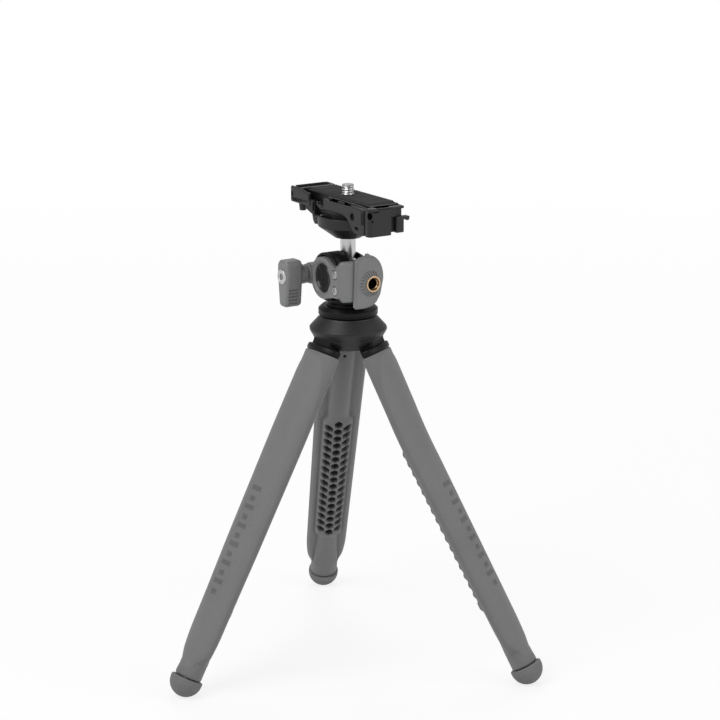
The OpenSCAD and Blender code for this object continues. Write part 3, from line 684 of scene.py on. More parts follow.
@dataclass
class Leg:
    """One leg: a rubber skin in three lengths over the bends, a foot cap and a black knuckle at the hub."""

    layout: Layout
    make: Maker
    letter: str
    number: int
    width: float = 26.4
    width_low: float = 22.6
    back: float = 6.6
    rim_x: float = -0.6
    web_x: float = -2.6
    spine_rise: float = 3.9
    spine_half: float = 6.0
    pad_rise: float = 1.1
    pad_half: float = 2.3
    comb_start: float = 63.3
    comb_rows: int = 17
    comb_pitch: float = 5.4
    comb_r: float = 2.35
    comb_depth: float = 2.4
    comb_side: float = 5.4
    comb_lean: float = 0.4
    rubber_s: float = 8.1
    close_s: tuple[float, float] = (15.0, 57.0)
    counts: tuple[int, ...] = (24, 48, 60, 150, 176, 72)
    foot_rise: float = 1.5
    flange_s: float = 5.4
    head_w: float = 14.0
    seams: tuple[float, float] = (71.8, 109.2)
    bends: tuple[float, float, float] = (55.948, 87.575, 130.775)
    bend_reach: float = 15.0
    marks: int = 6
    mark_s: float = 89.0
    mark_pitch: float = 10.3
    mark_depth: float = 0.45
    mark_y: float = -0.3
    mark_rise: float = 0.35
    shell_rise: float = 0.42
    # Painted shade on the lower ground outside the raised shell.
    painted_shell_shade: float = 0.09
    arch_top: tuple[float, float] = (36.0, 27.0)
    arch_low: tuple[float, float] = (17.0, 13.0)
    twist_on: tuple[float, float] = (10.0, 60.0)
    twist_off: tuple[float, float] = (112.0, 150.0)
    taper: float = 0.15
    taper_run: tuple[float, float] = (20.0, 150.0)
    wing_run: tuple[float, float] = (28.0, 19.5)
    pad_on: tuple[float, float] = (58.5, 62.5)
    pad_off: tuple[float, float] = (151.5, 156.0)
    spread: float = 2.5
    spread_on: tuple[float, float] = (150.0, 187.0)
    hole_s: float = 12.4
    hole_r: float = 0.75
    # Painted shade in the sunk grip marks.
    painted_mark_shade: float = 0.3
    mark_wide: tuple[float, float, float] = (3.5, 1.2, -3.7)
    mark_small: tuple[float, float, float] = (1.9, 1.3, 1.9)
    mark_line: tuple[float, float, float] = (0.45, 3.6, 1.0)
    line_y: float = 5.5
    ankle: tuple[float, float] = (6.7, 7.7)
    draw_in: tuple[float, float] = (0.055, 0.08)
    foot_half: float = 7.4
    pivot_round: float = 4.97
    block_half: float = 4.35

    def __post_init__(self) -> None:
        """Works out the station where the rubber ends, above the gap at the foot cap."""
        self.end = self.layout.leg_length - self.foot_rise - self.layout.gap

    def stations(self) -> Array:
        """Stations along the leg, from the foot up: close together over the comb and at both ends.

        Returns:
            Distances from the pivot, falling.
        """
        comb_end = self.comb_start + self.comb_rows * self.comb_pitch
        cuts = (self.rubber_s, *self.close_s, *self.seams, comb_end)
        runs = [np.linspace(a, b, n, endpoint=False) for a, b, n in zip(cuts, cuts[1:], self.counts)]
        return np.concatenate([*runs, np.linspace(comb_end, self.end, self.counts[-1])])[::-1]

    def section(self, s: Array) -> tuple[Array, Array]:
        """Surface of the skin and the painted shade of each point.

        Around the section run the back; the rim and the web, both straight; the spine, on the inner side; and
        the web and the rim again. Sizes change with the station.

        Args:
            s: Stations, as a column.

        Returns:
            Points of shape (stations, around, 3), and painted shade from 0 to 1.
        """
        share = np.clip((s - self.taper_run[0]) / self.taper_run[1], 0, 1)
        k = 1 - self.taper * share
        half = (self.width + (self.width_low - self.width) * share) / 2
        wing = np.clip((s - (self.end - self.wing_run[0])) / self.wing_run[1], 0, 1)
        half = self.foot_half + (half - self.foot_half) * np.sqrt(1 - wing**2)
        pad = smooth(*self.pad_on, s) * (1 - smooth(*self.pad_off, s))
        spine = self.spine_half * k + self.pad_half * pad + self.spread * smooth(*self.spread_on, s)
        spine = np.minimum(spine, half - 0.4)

        back_x, back_y, mark, shell = self.back_side(half, k, s)
        rim = np.linspace(0, 1, 7)[None, 1:-1]
        foot_y = np.maximum(np.minimum(half - 1.5, half * 0.9), spine + 0.1)
        rim_x, rim_y = self.rim_x + (self.web_x - self.rim_x) * rim + 0 * s, half + (foot_y - half) * rim
        web = np.linspace(0, 1, 13)[None, :-1]
        web_y = foot_y + (spine - foot_y) * web
        web_x = self.web_x - 0.35 * np.sin(np.pi * web) ** 2 + 0 * s
        spine_x, spine_y, deep = self.spine_side(self.spine_rise * k + self.pad_rise * pad, spine, pad, s)

        x = np.concatenate([back_x, rim_x, web_x, spine_x, web_x[:, ::-1], rim_x[:, ::-1]], axis=1)
        y = np.concatenate([back_y, rim_y, web_y, spine_y, -web_y[:, ::-1], -rim_y[:, ::-1]], axis=1)
        dark = np.zeros_like(x)
        first = back_x.shape[1] + rim_x.shape[1] + web_x.shape[1]
        # Painted shade in the spine's pockets and the pin hole, by their depth.
        dark[:, first:first + deep.shape[1]] = deep
        # Painted shade in the sunk grip marks.
        dark[:, :mark.shape[1]] = self.painted_mark_shade * mark
        x, y = self.softened(x, dark), self.softened(y, dark)
        # Painted shade on the lower ground outside the raised shell.
        dark[:, :mark.shape[1]] += self.painted_shell_shade * (1 - shell)
        return self.footed(x, y, s), dark

    def back_side(self, half: Array, k: Array, s: Array) -> tuple[Array, Array, Array, Array]:
        """Back of the section: half an ellipse, whose points the marks and the shell push along its normal.

        Args:
            half: Half the width at each station.
            k: Share of the full depth at each station.
            s: Stations, as a column.

        Returns:
            Both coordinates, the depth of the marks and the height of the shell.
        """
        t = np.radians(np.linspace(-90, 90, 112))[None, :]
        reach = self.back * k - self.rim_x
        x, y = self.rim_x + reach * np.cos(t), half * np.sin(t)
        mark, ridge = self.mark_pattern(y, s)
        shell = self.shell_edge(y / half, s)
        press = self.shell_rise * shell - self.mark_depth * mark + self.mark_rise * ridge
        slope = np.hypot(half * np.cos(t), reach * np.sin(t))
        return x + press * half * np.cos(t) / slope, y + press * reach * np.sin(t) / slope, mark, shell

    def spine_side(self, rise: Array, half: Array, pad: Array, s: Array) -> tuple[Array, Array, Array]:
        """Spine of the section: half a superellipse, whose points the pockets push along its normal.

        Args:
            rise: Height of the spine above the web at each station.
            half: Half its width.
            pad: Share of the pad, which makes the curve fuller.
            s: Stations, as a column.

        Returns:
            Both coordinates and the depth of the pockets.
        """
        u = np.radians(np.linspace(90, -90, 120))[None, :]
        full = 2 / (2 + 0.7 * pad)
        across, along = rise * np.abs(np.cos(u)) ** full, half * np.sign(u) * np.abs(np.sin(u)) ** full
        slant, climb = np.gradient(along, axis=1), np.gradient(across, axis=1)
        step = np.hypot(slant, climb)
        arc = np.cumsum(step, axis=1)
        deep = self.pockets(arc - arc.mean(axis=1, keepdims=True), s)
        sink = self.comb_depth * deep
        return self.web_x - across - sink * slant / step, along - sink * climb / step, deep

    def footed(self, x: Array, y: Array, s: Array) -> Array:
        """Points of the section, blended into a flattened circle at the foot and drawn in at both ends.

        Args:
            x: First coordinate of the section's points.
            y: Second coordinate.
            s: Stations, as a column.

        Returns:
            Points of shape (stations, around, 3).
        """
        angle = np.arctan2(y, x - self.rim_x)
        flare = smooth(self.end - 14, self.end - 1, s)
        x = x + flare * (self.rim_x * (1 - flare) + self.ankle[0] * np.cos(angle) - x)
        y = y + flare * (self.ankle[1] * np.sin(angle) - y)
        lip = np.sqrt(1 - np.clip(1 - (s - self.rubber_s), 0, 1) ** 2)
        low = np.sqrt(1 - np.clip(1 - (self.end - s) / 0.8, 0, 1) ** 2)
        size = 1 - self.draw_in[0] * (1 - lip) - self.draw_in[1] * (1 - low)
        return np.stack([x * size, y * size, -s + 0 * x], axis=-1)

    def softened(self, values: Array, dark: Array) -> Array:
        """Values averaged with their neighbours round the section, which rounds its corners but not its pockets.

        Args:
            values: One coordinate of the section's points.
            dark: Painted shade of each point, above zero in the pockets and the sunk marks.

        Returns:
            The averaged values.
        """
        for _ in range(4):
            mean = (np.roll(values, 1, axis=1) + 2 * values + np.roll(values, -1, axis=1)) / 4
            values = np.where(dark > 0.01, values, mean)
        return values

    def pockets(self, arc: Array, s: Array) -> Array:
        """Depth, from 0 to 1, of the honeycomb and of the pin hole, by distance from the nearest hexagon.

        A hexagon with a corner along the leg has the distance max(|a|, |a| / 2 + 0.866 |d|) less its inner
        radius, where a is measured across the spine and d along it. Hexagons beside the crest are wider and lean.

        Args:
            arc: Distance across the spine from its crest.
            s: Stations, as a column.

        Returns:
            Depths of shape (stations, across).
        """
        nearest = np.hypot(arc, s - self.hole_s) - self.hole_r
        for side, offset in ((0, 0.0), (1, 0.5), (-1, 0.5)):
            rows = self.comb_rows - abs(side)
            row = np.clip(np.round((s - self.comb_start) / self.comb_pitch - offset), 0, rows - 1)
            lean = self.comb_lean * abs(side) * (np.abs(arc) - self.comb_side)
            d = np.abs(s + lean - self.comb_start - (row + offset) * self.comb_pitch)
            a = np.abs(arc - side * self.comb_side) / (1 + 0.2 * abs(side))
            nearest = np.minimum(nearest, np.maximum(a, a / 2 + 0.866 * d) - 0.866 * self.comb_r)
        return 1 - smooth(-0.28, 0.22, nearest)

    def mark_pattern(self, y: Array, s: Array) -> tuple[Array, Array]:
        """Plain grip marks on the back: in each row a sunk wide bar and a small block, between two raised lines.

        Each form is given by half its width, half its length and its place along the row.

        Args:
            y: Distance across the back from its crest.
            s: Stations, as a column.

        Returns:
            Depth of the sunk forms and height of the raised ones, both from 0 to 1.
        """
        y, row = y - self.mark_y, np.clip(np.round((s - self.mark_s) / self.mark_pitch), 0, self.marks - 1)
        e = s - self.mark_s - row * self.mark_pitch
        wide, small, lines = (
            np.maximum(np.abs(across) - half, np.abs(e - at) - reach)
            for across, (half, reach, at) in ((y, self.mark_wide), (y, self.mark_small),
                                              (np.abs(y) - self.line_y, self.mark_line))
        )
        return 1 - smooth(-0.35, 0.35, np.minimum(wide, small)), 1 - smooth(-0.25, 0.25, lines)

    def shell_edge(self, across: Array, s: Array) -> Array:
        """Height of the back's outer shell, which ends in an arch at the top and a second one at the foot.

        The edge is where the 2.4th powers of the three shares, across and towards both ends, add up to about 1.

        Args:
            across: Share of the half width from the crest.
            s: Stations, as a column.

        Returns:
            Heights from 0 to 1.
        """
        top = np.clip((self.arch_top[0] - s) / self.arch_top[1], 0, 1)
        low = np.clip((s - (self.end - self.arch_low[0])) / self.arch_low[1], 0, 1)
        arch = (np.abs(across) / 0.97) ** 2.4 + top**2.4 + low**2.4
        return 1 - smooth(0.93, 1.02, arch)

    def skin(self) -> None:
        """Builds the skin as one grid, sets it to the leg's line and cuts it at the seams."""
        s = self.stations()
        points, dark = self.section(s[:, None])
        points = self.settled(points, s[:, None])
        around = np.roll(points, -1, axis=1) - np.roll(points, 1, axis=1)
        along = np.gradient(points, axis=0)
        normals = np.cross(around, along)
        normals /= np.linalg.norm(normals, axis=2, keepdims=True)
        cuts = [self.rubber_s, *self.seams, s[0]]
        names = ("top", "middle", "low")
        nodes = (("upper",), ("middle",), ("lower", "end"))
        for i, part in enumerate(names):
            rows = (s >= cuts[i] - 1e-6) & (s <= cuts[i + 1] + 1e-6)
            patch = self.length(points[rows], normals[rows], dark[rows]).moved(self.layout.leg(self.number))
            piece = self.make.mesh(f"leg_{self.letter}_skin_{part}", patch, LEG_RUBBER, 180)
            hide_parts(*(f"leg_{self.letter}_{node}" for node in nodes[i]))
            start, stop = (self.on_line(self.bends[i] + d) for d in (-self.bend_reach, self.bend_reach))
            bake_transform(piece)
            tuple(start)
            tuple(stop)
            log.info("%s: %d points", piece.name, len(patch.points))

    def settled(self, points: Array, s: Array) -> Array:
        """Points twisted about the core line, then set at the first bend.

        The twist grows below the hub and eases off further down. The set is a mix of the point and of the
        point turned at the bend; its share grows across the bend.

        Args:
            points: Points of shape (stations, around, 3) of the straight leg.
            s: Stations, as a column.

        Returns:
            The points on the leg's line.
        """
        growth = smooth(*self.twist_on, s) * (1 - 0.7 * smooth(*self.twist_off, s))
        a = np.radians(self.layout.leg_twists[self.number]) * growth
        x, y, z = np.moveaxis(points, -1, 0)
        twisted = np.stack([x * np.cos(a) - y * np.sin(a), x * np.sin(a) + y * np.cos(a), z], axis=-1)
        matrix = self.layout.leg_set(self.number)
        share = np.clip((s - self.bends[0] + self.bend_reach) / (2 * self.bend_reach), 0, 1)[..., None]
        return twisted * (1 - share) + (twisted @ matrix[:3, :3].T + matrix[:3, 3]) * share

    def length(self, points: Array, normals: Array, dark: Array) -> Patch:
        """One length of the skin, with flat ends on points of their own.

        Args:
            points: Its points, of shape (stations, around, 3).
            normals: Their normals.
            dark: Painted shade of each point, in the pockets, the sunk marks and outside the raised shell.

        Returns:
            The closed patch.
        """
        rows, columns = dark.shape
        flat = np.zeros((2, columns, 3))
        flat[:, :, 2] = np.array([-1, 1])[:, None]
        body = np.concatenate([points.reshape(-1, 3), points[0], points[-1]])
        count = rows * columns
        return Patch(body, grid_quads(rows, columns), end_fills(columns, count + columns, count),
                     np.concatenate([dark.ravel(), np.zeros(2 * columns)]),
                     np.concatenate([normals.reshape(-1, 3), flat.reshape(-1, 3)]))

    def on_line(self, s: float) -> tuple[float, ...]:
        """Point of the leg's core line at a station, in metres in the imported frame."""
        place = self.lower() if s > self.bends[0] else self.layout.leg(self.number)
        return tuple((place @ np.array([0, 0, -s, 1]))[:3] * MM)

    def lower(self) -> Array:
        """Frame of the leg below its first bend."""
        return self.layout.leg(self.number) @ self.layout.leg_set(self.number)

    def foot(self) -> None:
        """Foot cap: a dome with a rounded rim above it, pressed flat where it meets the floor."""
        r, centre = self.layout.foot_r, -self.layout.leg_length
        top = centre + self.foot_rise
        a = np.radians(np.linspace(-88, 0, 30))
        dome = np.stack([r * np.cos(a), centre + r * np.sin(a)], axis=1)
        rim = rounded([(r, centre + 0.1), (r, top), (5.2, top)], 0.75, closed=False)
        cap = lathe(np.concatenate([dome, rim[1:], [(5.0, top - 0.6)]])).moved(self.lower())
        cap.points[:, 2] = np.maximum(cap.points[:, 2], 0)
        self.make.add(f"leg_{self.letter}_foot_cap", cap, FOOT_RUBBER, f"leg_{self.letter}_4",
                      f"leg_{self.letter}_foot")

    def knuckle(self) -> None:
        """Black knuckle: a round topped block with a panel sunk in each side, above a flange of the leg's outline."""
        a = np.radians(np.linspace(-29, 209, 33))
        arch = self.pivot_round * np.stack([np.cos(a), np.sin(a)], axis=1)
        half, low = self.block_half, -self.flange_s - 1
        block = np.concatenate([[(half, low)], arch, [(-half, low)]])
        panel = bar(-2.6, -self.flange_s + 0.7, 2.6, 1.4, 0.8)
        w = self.head_w / 2
        cheeks = upright(block, -w, w, 0.5, holes=[panel], hole_bevel=0.15)
        core = upright(inset(block, 0.3), 0.7 - w, w - 0.7, 0.1)
        ring = self.section(np.array([[30.0]]))[0][0, :, :2] * np.array([0.96, 0.965])
        flange = slab(ring[::2], -self.rubber_s + 0.15, 1.0 - self.flange_s, 1.1, steps=5)
        patch = Patch.join([cheeks, core, flange]).moved(self.layout.leg(self.number))
        self.make.add(f"leg_{self.letter}_knuckle", patch, BLACK_METAL, f"leg_{self.letter}_1",
                      f"leg_{self.letter}_head")

    def build(self) -> None:
        """Builds and dresses the leg."""
        self.skin()
        self.foot()
        self.knuckle()
        for part in ("upper", "middle", "lower", "end"):
            self.make.keep(f"leg_{self.letter}_core_{part}", CORE_METAL)


@dataclass
class Hub:
    """Hub under the head: a moulded shell with three shields over the solid hub, and the steel parts in it."""

    layout: Layout
    make: Maker
    radius: float = 20.1
    shield: float = 6.1
    cover: float = 0.2
    wall: float = 0.8
    recess: float = 0.7
    sides: int = 288
    rows: int = 90
    flank: tuple[float, float] = (19.0, 46.0)
    panel: tuple[float, float] = (35.0, 37.5)

    def shell(self) -> None:
        """Shell: a profile over a leg and one with a shield, blended by angle, and a sunk panel in each shield."""
        z, top, r = self.layout.hub_z, self.layout.hub_top, self.radius
        head = [(self.layout.disc_r - 0.9, top - 0.05), (self.layout.disc_r - 0.5, top - 0.7), (r, z + 3.7),
                (r, z + 2.6)]
        radii = (0, 0.4, 1.2, 1.0, 0.4, 0)
        plain = rounded(head + [(r - 1.5, z - 0.1), (r - 2.8, z - 0.1)], radii, closed=False)
        skirt = rounded(head + [(r - 5.2, z - self.shield), (r - 7.0, z - self.shield)], radii, closed=False)
        at = np.linspace(0, len(plain) - 1, self.rows)
        even = [np.column_stack([np.interp(at, np.arange(len(p)), p[:, i]) for i in (0, 1)]) for p in (plain, skirt)]
        a = np.arange(self.sides) * 360 / self.sides
        away = np.min(np.abs((a - self.layout.shield_az[:, None] + 180) % 360 - 180), axis=0)
        share = np.clip((self.flank[1] - away) / (self.flank[1] - self.flank[0]), 0, 1)[None, :]
        radius, height = ((even[0][:, i:i + 1] * (1 - share) + even[1][:, i:i + 1] * share) for i in (0, 1))
        level = smooth(z - 0.5, z - 0.1, height) * (1 - smooth(z + 3.4, z + 3.8, height))
        sunk = (1 - smooth(*self.panel, away))[None, :] * level
        radius = radius + self.cover - self.recess * sunk
        rows_r = np.concatenate([radius, radius[::-1] - self.wall])[::-1]
        rows_z = np.concatenate([height, height[::-1]])[::-1]
        b = np.radians(a)[None, :]
        points = np.stack([rows_r * np.cos(b), rows_r * np.sin(b), rows_z], axis=-1).reshape(-1, 3)
        patch = Patch(points, grid_quads(len(rows_r), len(a), loop=True)).moved(self.layout.axis())
        self.make.add("hub_shell", patch, BLACK_PLASTIC, "hub", sharp=70)

    def build(self) -> None:
        """Builds and dresses the hub."""
        self.shell()
        self.make.keep("hub", BLACK_PLASTIC)
        for node in ("leg_pins", "pan_bolt", "bolt_nut"):
            self.make.keep(node, STEEL)


@dataclass
class BallHead:
    """Ball head: base disc, barrel round the ball, badge ring with its flange, side plate, knob and stem."""

    layout: Layout
    make: Maker
    ball_r: float = 10.0
    stem_r: float = 4.0
    slot_half: float = 4.5
    slot_angle: float = 60.0
    hood_r: float = 12.6
    ring_r: float = 11.0
    badge_r: float = 7.5
    band_h: float = 21.5
    screw_z: tuple[float, float] = (-4.7, 3.8)
    knob_x: float = 14.0
    knob_len: float = 9.9
    knob_tail: float = 15.3
    plate_t: float = 2.0
    insert_r: float = 4.3
    insert_bore: float = 3.175
    insert_y: float = 3.1
    insert_z: float = -1.8
    teeth: int = 24

    def __post_init__(self) -> None:
        """Works out the places along the badge's and the plate's direction."""
        self.face_y = -self.layout.barrel_r
        self.ring_y = self.face_y - 3.7
        self.flange_y = self.ring_y + 0.15
        self.collar_y = self.ring_y - 0.9
        self.wing_y = self.collar_y - 4.6
        self.knob_end = self.wing_y - self.knob_len
        self.arm_x = self.layout.barrel_r + 4.9
        self.plate_x = self.arm_x + self.plate_t
        self.ball = self.layout.head() @ shift(0, 0, self.layout.ball_z)

    def on_y(self, patch: Patch, x: float = 0.0, z: float = 0.0) -> Patch:
        """A patch turned about Z, laid so that its axis runs along +Y through x and z from the ball's centre."""
        return patch.moved(self.ball @ shift(x, 0, z) @ turn("x", -90))

    def disc(self) -> None:
        """Base disc: a turned ring with a wide chamfer above and a fine groove below it."""
        lo, hi, r = self.layout.disc_z, self.layout.disc_top, self.layout.disc_r
        profile = rounded([(3.2, lo), (r - 0.5, lo), (r, lo + 0.5), (r, lo + 0.9), (r - 0.18, lo + 1.05), (r, lo + 1.2),
                           (r, hi - 1.8), (r - 1.9, hi), (11.3, hi), (3.2, hi)],
                          (0.2, 0.2, 0.2, 0, 0, 0, 0.35, 0.35, 0, 0.2))
        self.make.add("disc_turned", lathe(profile, 144, tube=True).moved(self.layout.head()), BLACK_METAL, "head",
                      "base_disc")

    def barrel(self) -> None:
        """Barrel: ribbed hood round the badge's ring, slotted middle, domed rear, pedestal and the knob's boss."""
        r, bore, y, s = self.layout.barrel_r, self.ball_r + 0.25, self.face_y, self.slot_half
        front = [(bore, y), (r - 0.7, y), (r, y + 0.7), (r, -s - 0.35), (r - 0.35, -s), (bore, -s)]
        lip, hood_r = y - 1.8, self.hood_r
        ribs = [(hood_r - d, lip + 1.5 + 0.5 * i) for i, d in enumerate((0, 0.28, 0, 0.28, 0, 0.28, 0))]
        hood = [(r - 1.1, lip), (hood_r - 0.4, lip), (hood_r, lip + 0.4), *ribs, (hood_r, -s - 0.5), (hood_r - 0.5, -s),
                (r - 1.1, -s)]
        a = np.radians(np.linspace(22, 84, 24))
        dome = np.stack([np.cos(a), np.sin(a)], axis=1)
        rear = np.concatenate([[(bore, s), (self.hood_r - 0.9, s)], self.hood_r * dome, (bore + 0.8) * dome[::-1]])
        middle = [(bore, -s - 0.2), (r, -s - 0.2), (r, s + 0.2), (bore, s + 0.2)]
        open_at = 270 + self.slot_angle
        parts = [lathe(front, 144, tube=True), lathe(rear, 144, tube=True),
                 sector(middle, open_at, open_at + 360 - 2 * self.slot_angle)]
        boss = rounded([(0.3, y + 0.2), (5.6, y + 0.2), (5.6, 5.2), (4.2, 5.8), (0.3, 5.8)], (0, 0.3, 0.8, 0.5, 0),
                       closed=False)
        web = upright(bar(-self.knob_x, -4.4, -8, 4.4, 0.3), y + 0.4, 7.6, 0.5).moved(self.ball)
        low = self.layout.disc_top - self.layout.ball_z
        foot = rounded([(6, low), (11.2, low), (11.2, low + 1.0), (10.4, low + 2.2), (10.4, -6.5), (6, -6.5)],
                       (0, 0.2, 0.4, 0.8, 0, 0))
        pieces = [*map(self.on_y, parts), self.on_y(sector(hood, 62, 320, 120), 0.5, 0.6),
                  self.on_y(lathe(boss, 64), -self.knob_x), web, lathe(foot, tube=True).moved(self.ball)]
        self.make.add("barrel", Patch.join(pieces), BLACK_METAL, "head", "ball_socket", sharp=40)

    def band(self) -> None:
        """Clamp band: the badge's ring, a flush flange beside it and an arm bent round to the side plate."""
        y, back = self.ring_y, self.face_y - 0.1
        inner = self.badge_r + 0.1
        profile = rounded([(inner, back), (self.ring_r, back), (self.ring_r, y), (inner + 1.1, y), (inner, y + 0.9)],
                          (0, 0.2, 0.7, 0.25, 0.1))
        ring = self.on_y(lathe(profile, 128, tube=True))
        x = self.layout.barrel_r + 1.6
        neck = rounded([(6.0, -9.6), (9.4, -8.7), (12.0, -8.4), (x + 0.8, -8.3), (x + 0.8, 6.9), (12.4, 7.0),
                        (9.6, 8.2), (6.4, 9.4), (5.0, 6.0), (8.6, 0.0), (5.0, -6.0)],
                       (0.5, 2, 2, 0.3, 0.3, 1.5, 2, 0.5, 0.3, 4, 0.3))
        seats = [circle(2.6, 40, (self.layout.barrel_r - 0.5, z)) for z in self.screw_z]
        flange = upright(neck, self.flange_y, back, 0.3, holes=seats, hole_bevel=0.1).moved(self.ball)
        bend = rounded([(x - 1.1, self.flange_y + 0.4), (x + 0.4, self.flange_y + 0.4), (self.arm_x, self.face_y + 3.2),
                        (self.arm_x, 8.8), (x - 1.1, 8.8)], (0.3, 1.8, 5, 0.4, 0.3))
        h = self.band_h / 2
        arm = slab(dense(bend, 0.6), -h, h, 1.5)
        along, z = arm.points[:, 1], arm.points[:, 2]
        rise = 1 - 0.2 * (1 - smooth(-15.6, -12.6, along))
        drop = 1 - 0.2 * (1 - smooth(-14.8, -12.4, along))
        arm.points[:, 2] = z * np.where(z > 0, rise, drop) * (1 - 0.63 * np.clip((along - 4.5) / 4.3, 0, 1) ** 2)
        parts = [ring, flange, arm.moved(self.ball)]
        self.make.add("clamp_band_dressed", Patch.join(parts), GREY_PAINT, "head", "clamp_band", sharp=40)

    def badge(self) -> None:
        """Plain badge: a gloss disc with a shallow dome and one fine ring in it."""
        y, r = self.ring_y + 0.75, self.badge_r
        profile = [(r - 0.1, self.face_y - 0.25), (r - 0.1, y + 0.2), (r - 0.35, y), (r - 1.2, y), (r - 1.35, y + 0.18),
                   (r - 1.6, y + 0.18), (r - 1.75, y), (3.5, y - 0.1), (0.2, y - 0.14)]
        self.make.add("badge_plain", self.on_y(lathe(profile)), GLOSS_BLACK, "head", "badge_disc")

    def screws(self) -> None:
        """Two sunk screws with hexagon sockets, flush with the flange and with a dark gap round them."""
        x, y = self.layout.barrel_r - 0.5, self.flange_y
        heads = []
        for z in self.screw_z:
            head = slab(circle(2.2, 48), y - 0.1, y + 0.8, 0.3, holes=[circle(1.3, 6)], hole_bevel=0.1)
            floor = slab(circle(1.6, 24), y + 0.45, y + 0.85, 0.05)
            heads += [p.laid(Lie.ALONG_Y, x, 0, z) for p in (head, floor)]
        self.make.add("flange_screws", Patch.join(heads).moved(self.ball), DULL_STEEL, "head", "band_screws")

    def plate_outline(self) -> Array:
        """Outline of the side plate: straight on the knob's side, round on top, drawn in below on the far side.

        Returns:
            Points of the outline, counterclockwise.
        """
        low = self.layout.disc_top + 1.6 - self.layout.ball_z
        a = np.radians(np.linspace(-6, 92, 40))
        crown = np.stack([0.2 + 9.3 * np.cos(a), 1.5 + 12.0 * np.sin(a)], axis=1)
        side = rounded([crown[-1], (-4.6, 12.8), (-7.3, 11.4), (-8.2, low), (-1.2, low), (3.2, low + 1.2),
                        (5.3, low + 2.6), (7.7, low + 6.4), crown[0]], (0, 4, 2.6, 1.6, 4, 4, 3, 5, 0), closed=False)
        return np.concatenate([crown, side[1:-1]])

    def plate(self) -> None:
        """Side plate: a sheet with a raised face in a narrow border, a rosette of teeth on one side and a nib."""
        outline = self.plate_outline()
        hole = circle(self.insert_r + 0.05, 64, (self.insert_y, self.insert_z))
        x = self.plate_x
        sheet = slab(outline, self.arm_x, x - 0.25, 0.4, holes=[hole], hole_bevel=0.05)
        face = slab(inset(outline, 0.95), x - 0.6, x, 0.2, holes=[hole], hole_bevel=0.05)
        nib = slab(bar(-1.2, 12.6, 1.0, 14.3, 0.7), self.arm_x + 0.2, x - 0.3, 0.3)
        rows, sides = 14, self.teeth * 14
        a = np.arange(sides)[None, :] * 2 * np.pi / sides
        r = np.linspace(0, 1, rows)[:, None]
        tooth = smooth(-0.55, 0.35, np.cos(a * self.teeth)) * (1 - smooth(0.35, 0.8, np.cos(a)))
        height = x - 0.12 + (0.6 * tooth + 0.06) * smooth(0, 0.1, r) * (1 - smooth(0.84, 1, r))
        span = self.insert_r + 0.25 + (2.25 - self.insert_r + 4.3) * r
        across, up = self.insert_y - 1.9 * r, self.insert_z + 0.5 * r
        points = np.stack([across + span * np.cos(a), up + span * np.sin(a), height], axis=-1)
        rosette = Patch(points.reshape(-1, 3), grid_quads(rows, a.size)).flipped()
        patch = Patch.join([sheet, face, nib, rosette]).laid(Lie.ALONG_X).moved(self.ball)
        self.make.add("side_plate_dressed", patch, GREY_PAINT, "head", "side_plate", sharp=40)

    def insert(self) -> None:
        """Brass insert: a chamfered tube with a quarter inch thread inside, and a painted shade disc deep in its bore.
        """
        low, high, r, bore = self.layout.barrel_r + 0.6, self.plate_x + 0.4, self.insert_r, self.insert_bore
        rows = np.linspace(high - 0.7, low, int((high - low) / 0.12))
        shell = rounded([(bore, low), (r, low), (r, high), (bore + 0.25, high), (bore, high - 0.4)],
                        (0, 0, 0.3, 0.1, 0), steps=4)
        profile = np.concatenate([shell[1:], np.column_stack([np.full(len(rows), bore), rows])])
        relief = np.zeros((len(profile), 96))
        relief[-len(rows):] = thread_relief(rows, THREAD_PITCH, 0.42)
        tube = lathe(profile, 96, tube=True, relief=relief)
        place = self.ball @ shift(0, self.insert_y, self.insert_z) @ turn("y", 90)
        self.make.add("insert_threaded", tube.moved(place), BRASS, "head", "thread_insert", sharp=60)
        # Painted shade: a near black disc deep in the bore.
        depth = slab(circle(bore + 0.2, 40, (self.insert_y, self.insert_z)), self.arm_x - 0.3, self.arm_x + 0.1, 0.02)
        self.make.add("insert_bore_painted_shade", depth.laid(Lie.ALONG_X).moved(self.ball), DEEP_SHADE, "head")

    def collar(self) -> None:
        """Collar under the knob: two steps with a groove between them."""
        y = self.collar_y
        profile = rounded([(2.6, y), (5.0, y), (5.0, y + 1.5), (4.7, y + 1.6), (4.7, y + 1.9), (5.6, y + 2.0),
                           (5.6, self.face_y), (2.6, self.face_y)], (0, 0.4, 0.1, 0, 0, 0.4, 0.2, 0))
        self.make.add("collar_stepped", self.on_y(lathe(profile, 72, tube=True), -self.knob_x), GREY_PAINT, "head",
                      "clamp_collar")

    def knob(self) -> None:
        """Wing knob: a paddle with rounded rims, finger grooves sunk in one flank, and a neck."""
        tail = -self.knob_tail - 0.8
        shape = rounded([(-2.0, tail), (2.0, tail), (3.5, tail + 1.2), (5.2, 1.0), (4.9, 6.4), (3.2, 8.4), (-3.2, 8.4),
                         (-4.9, 6.4), (-5.2, 1.0), (-3.5, tail + 1.2)], (1.0, 1.0, 1.2, 6, 1.8, 1.8, 1.8, 1.8, 6, 1.2))
        wing = self.grooved(dense(shape, 0.22))
        neck = rounded([(2.6, self.wing_y - 0.5), (5.0, self.wing_y - 0.5), (5.0, self.collar_y - 1.5),
                        (4.5, self.collar_y - 0.9), (4.5, self.collar_y - 0.2), (2.6, self.collar_y - 0.2)],
                       (0, 0, 0.5, 0.2, 0.2, 0))
        patch = Patch.join([wing.laid(Lie.ALONG_Y, -self.knob_x, 0, 0).moved(self.ball),
                            self.on_y(lathe(neck, 72, tube=True), -self.knob_x)])
        self.make.add("knob_wing", patch, GREY_PAINT, "knob", "knob", sharp=45)

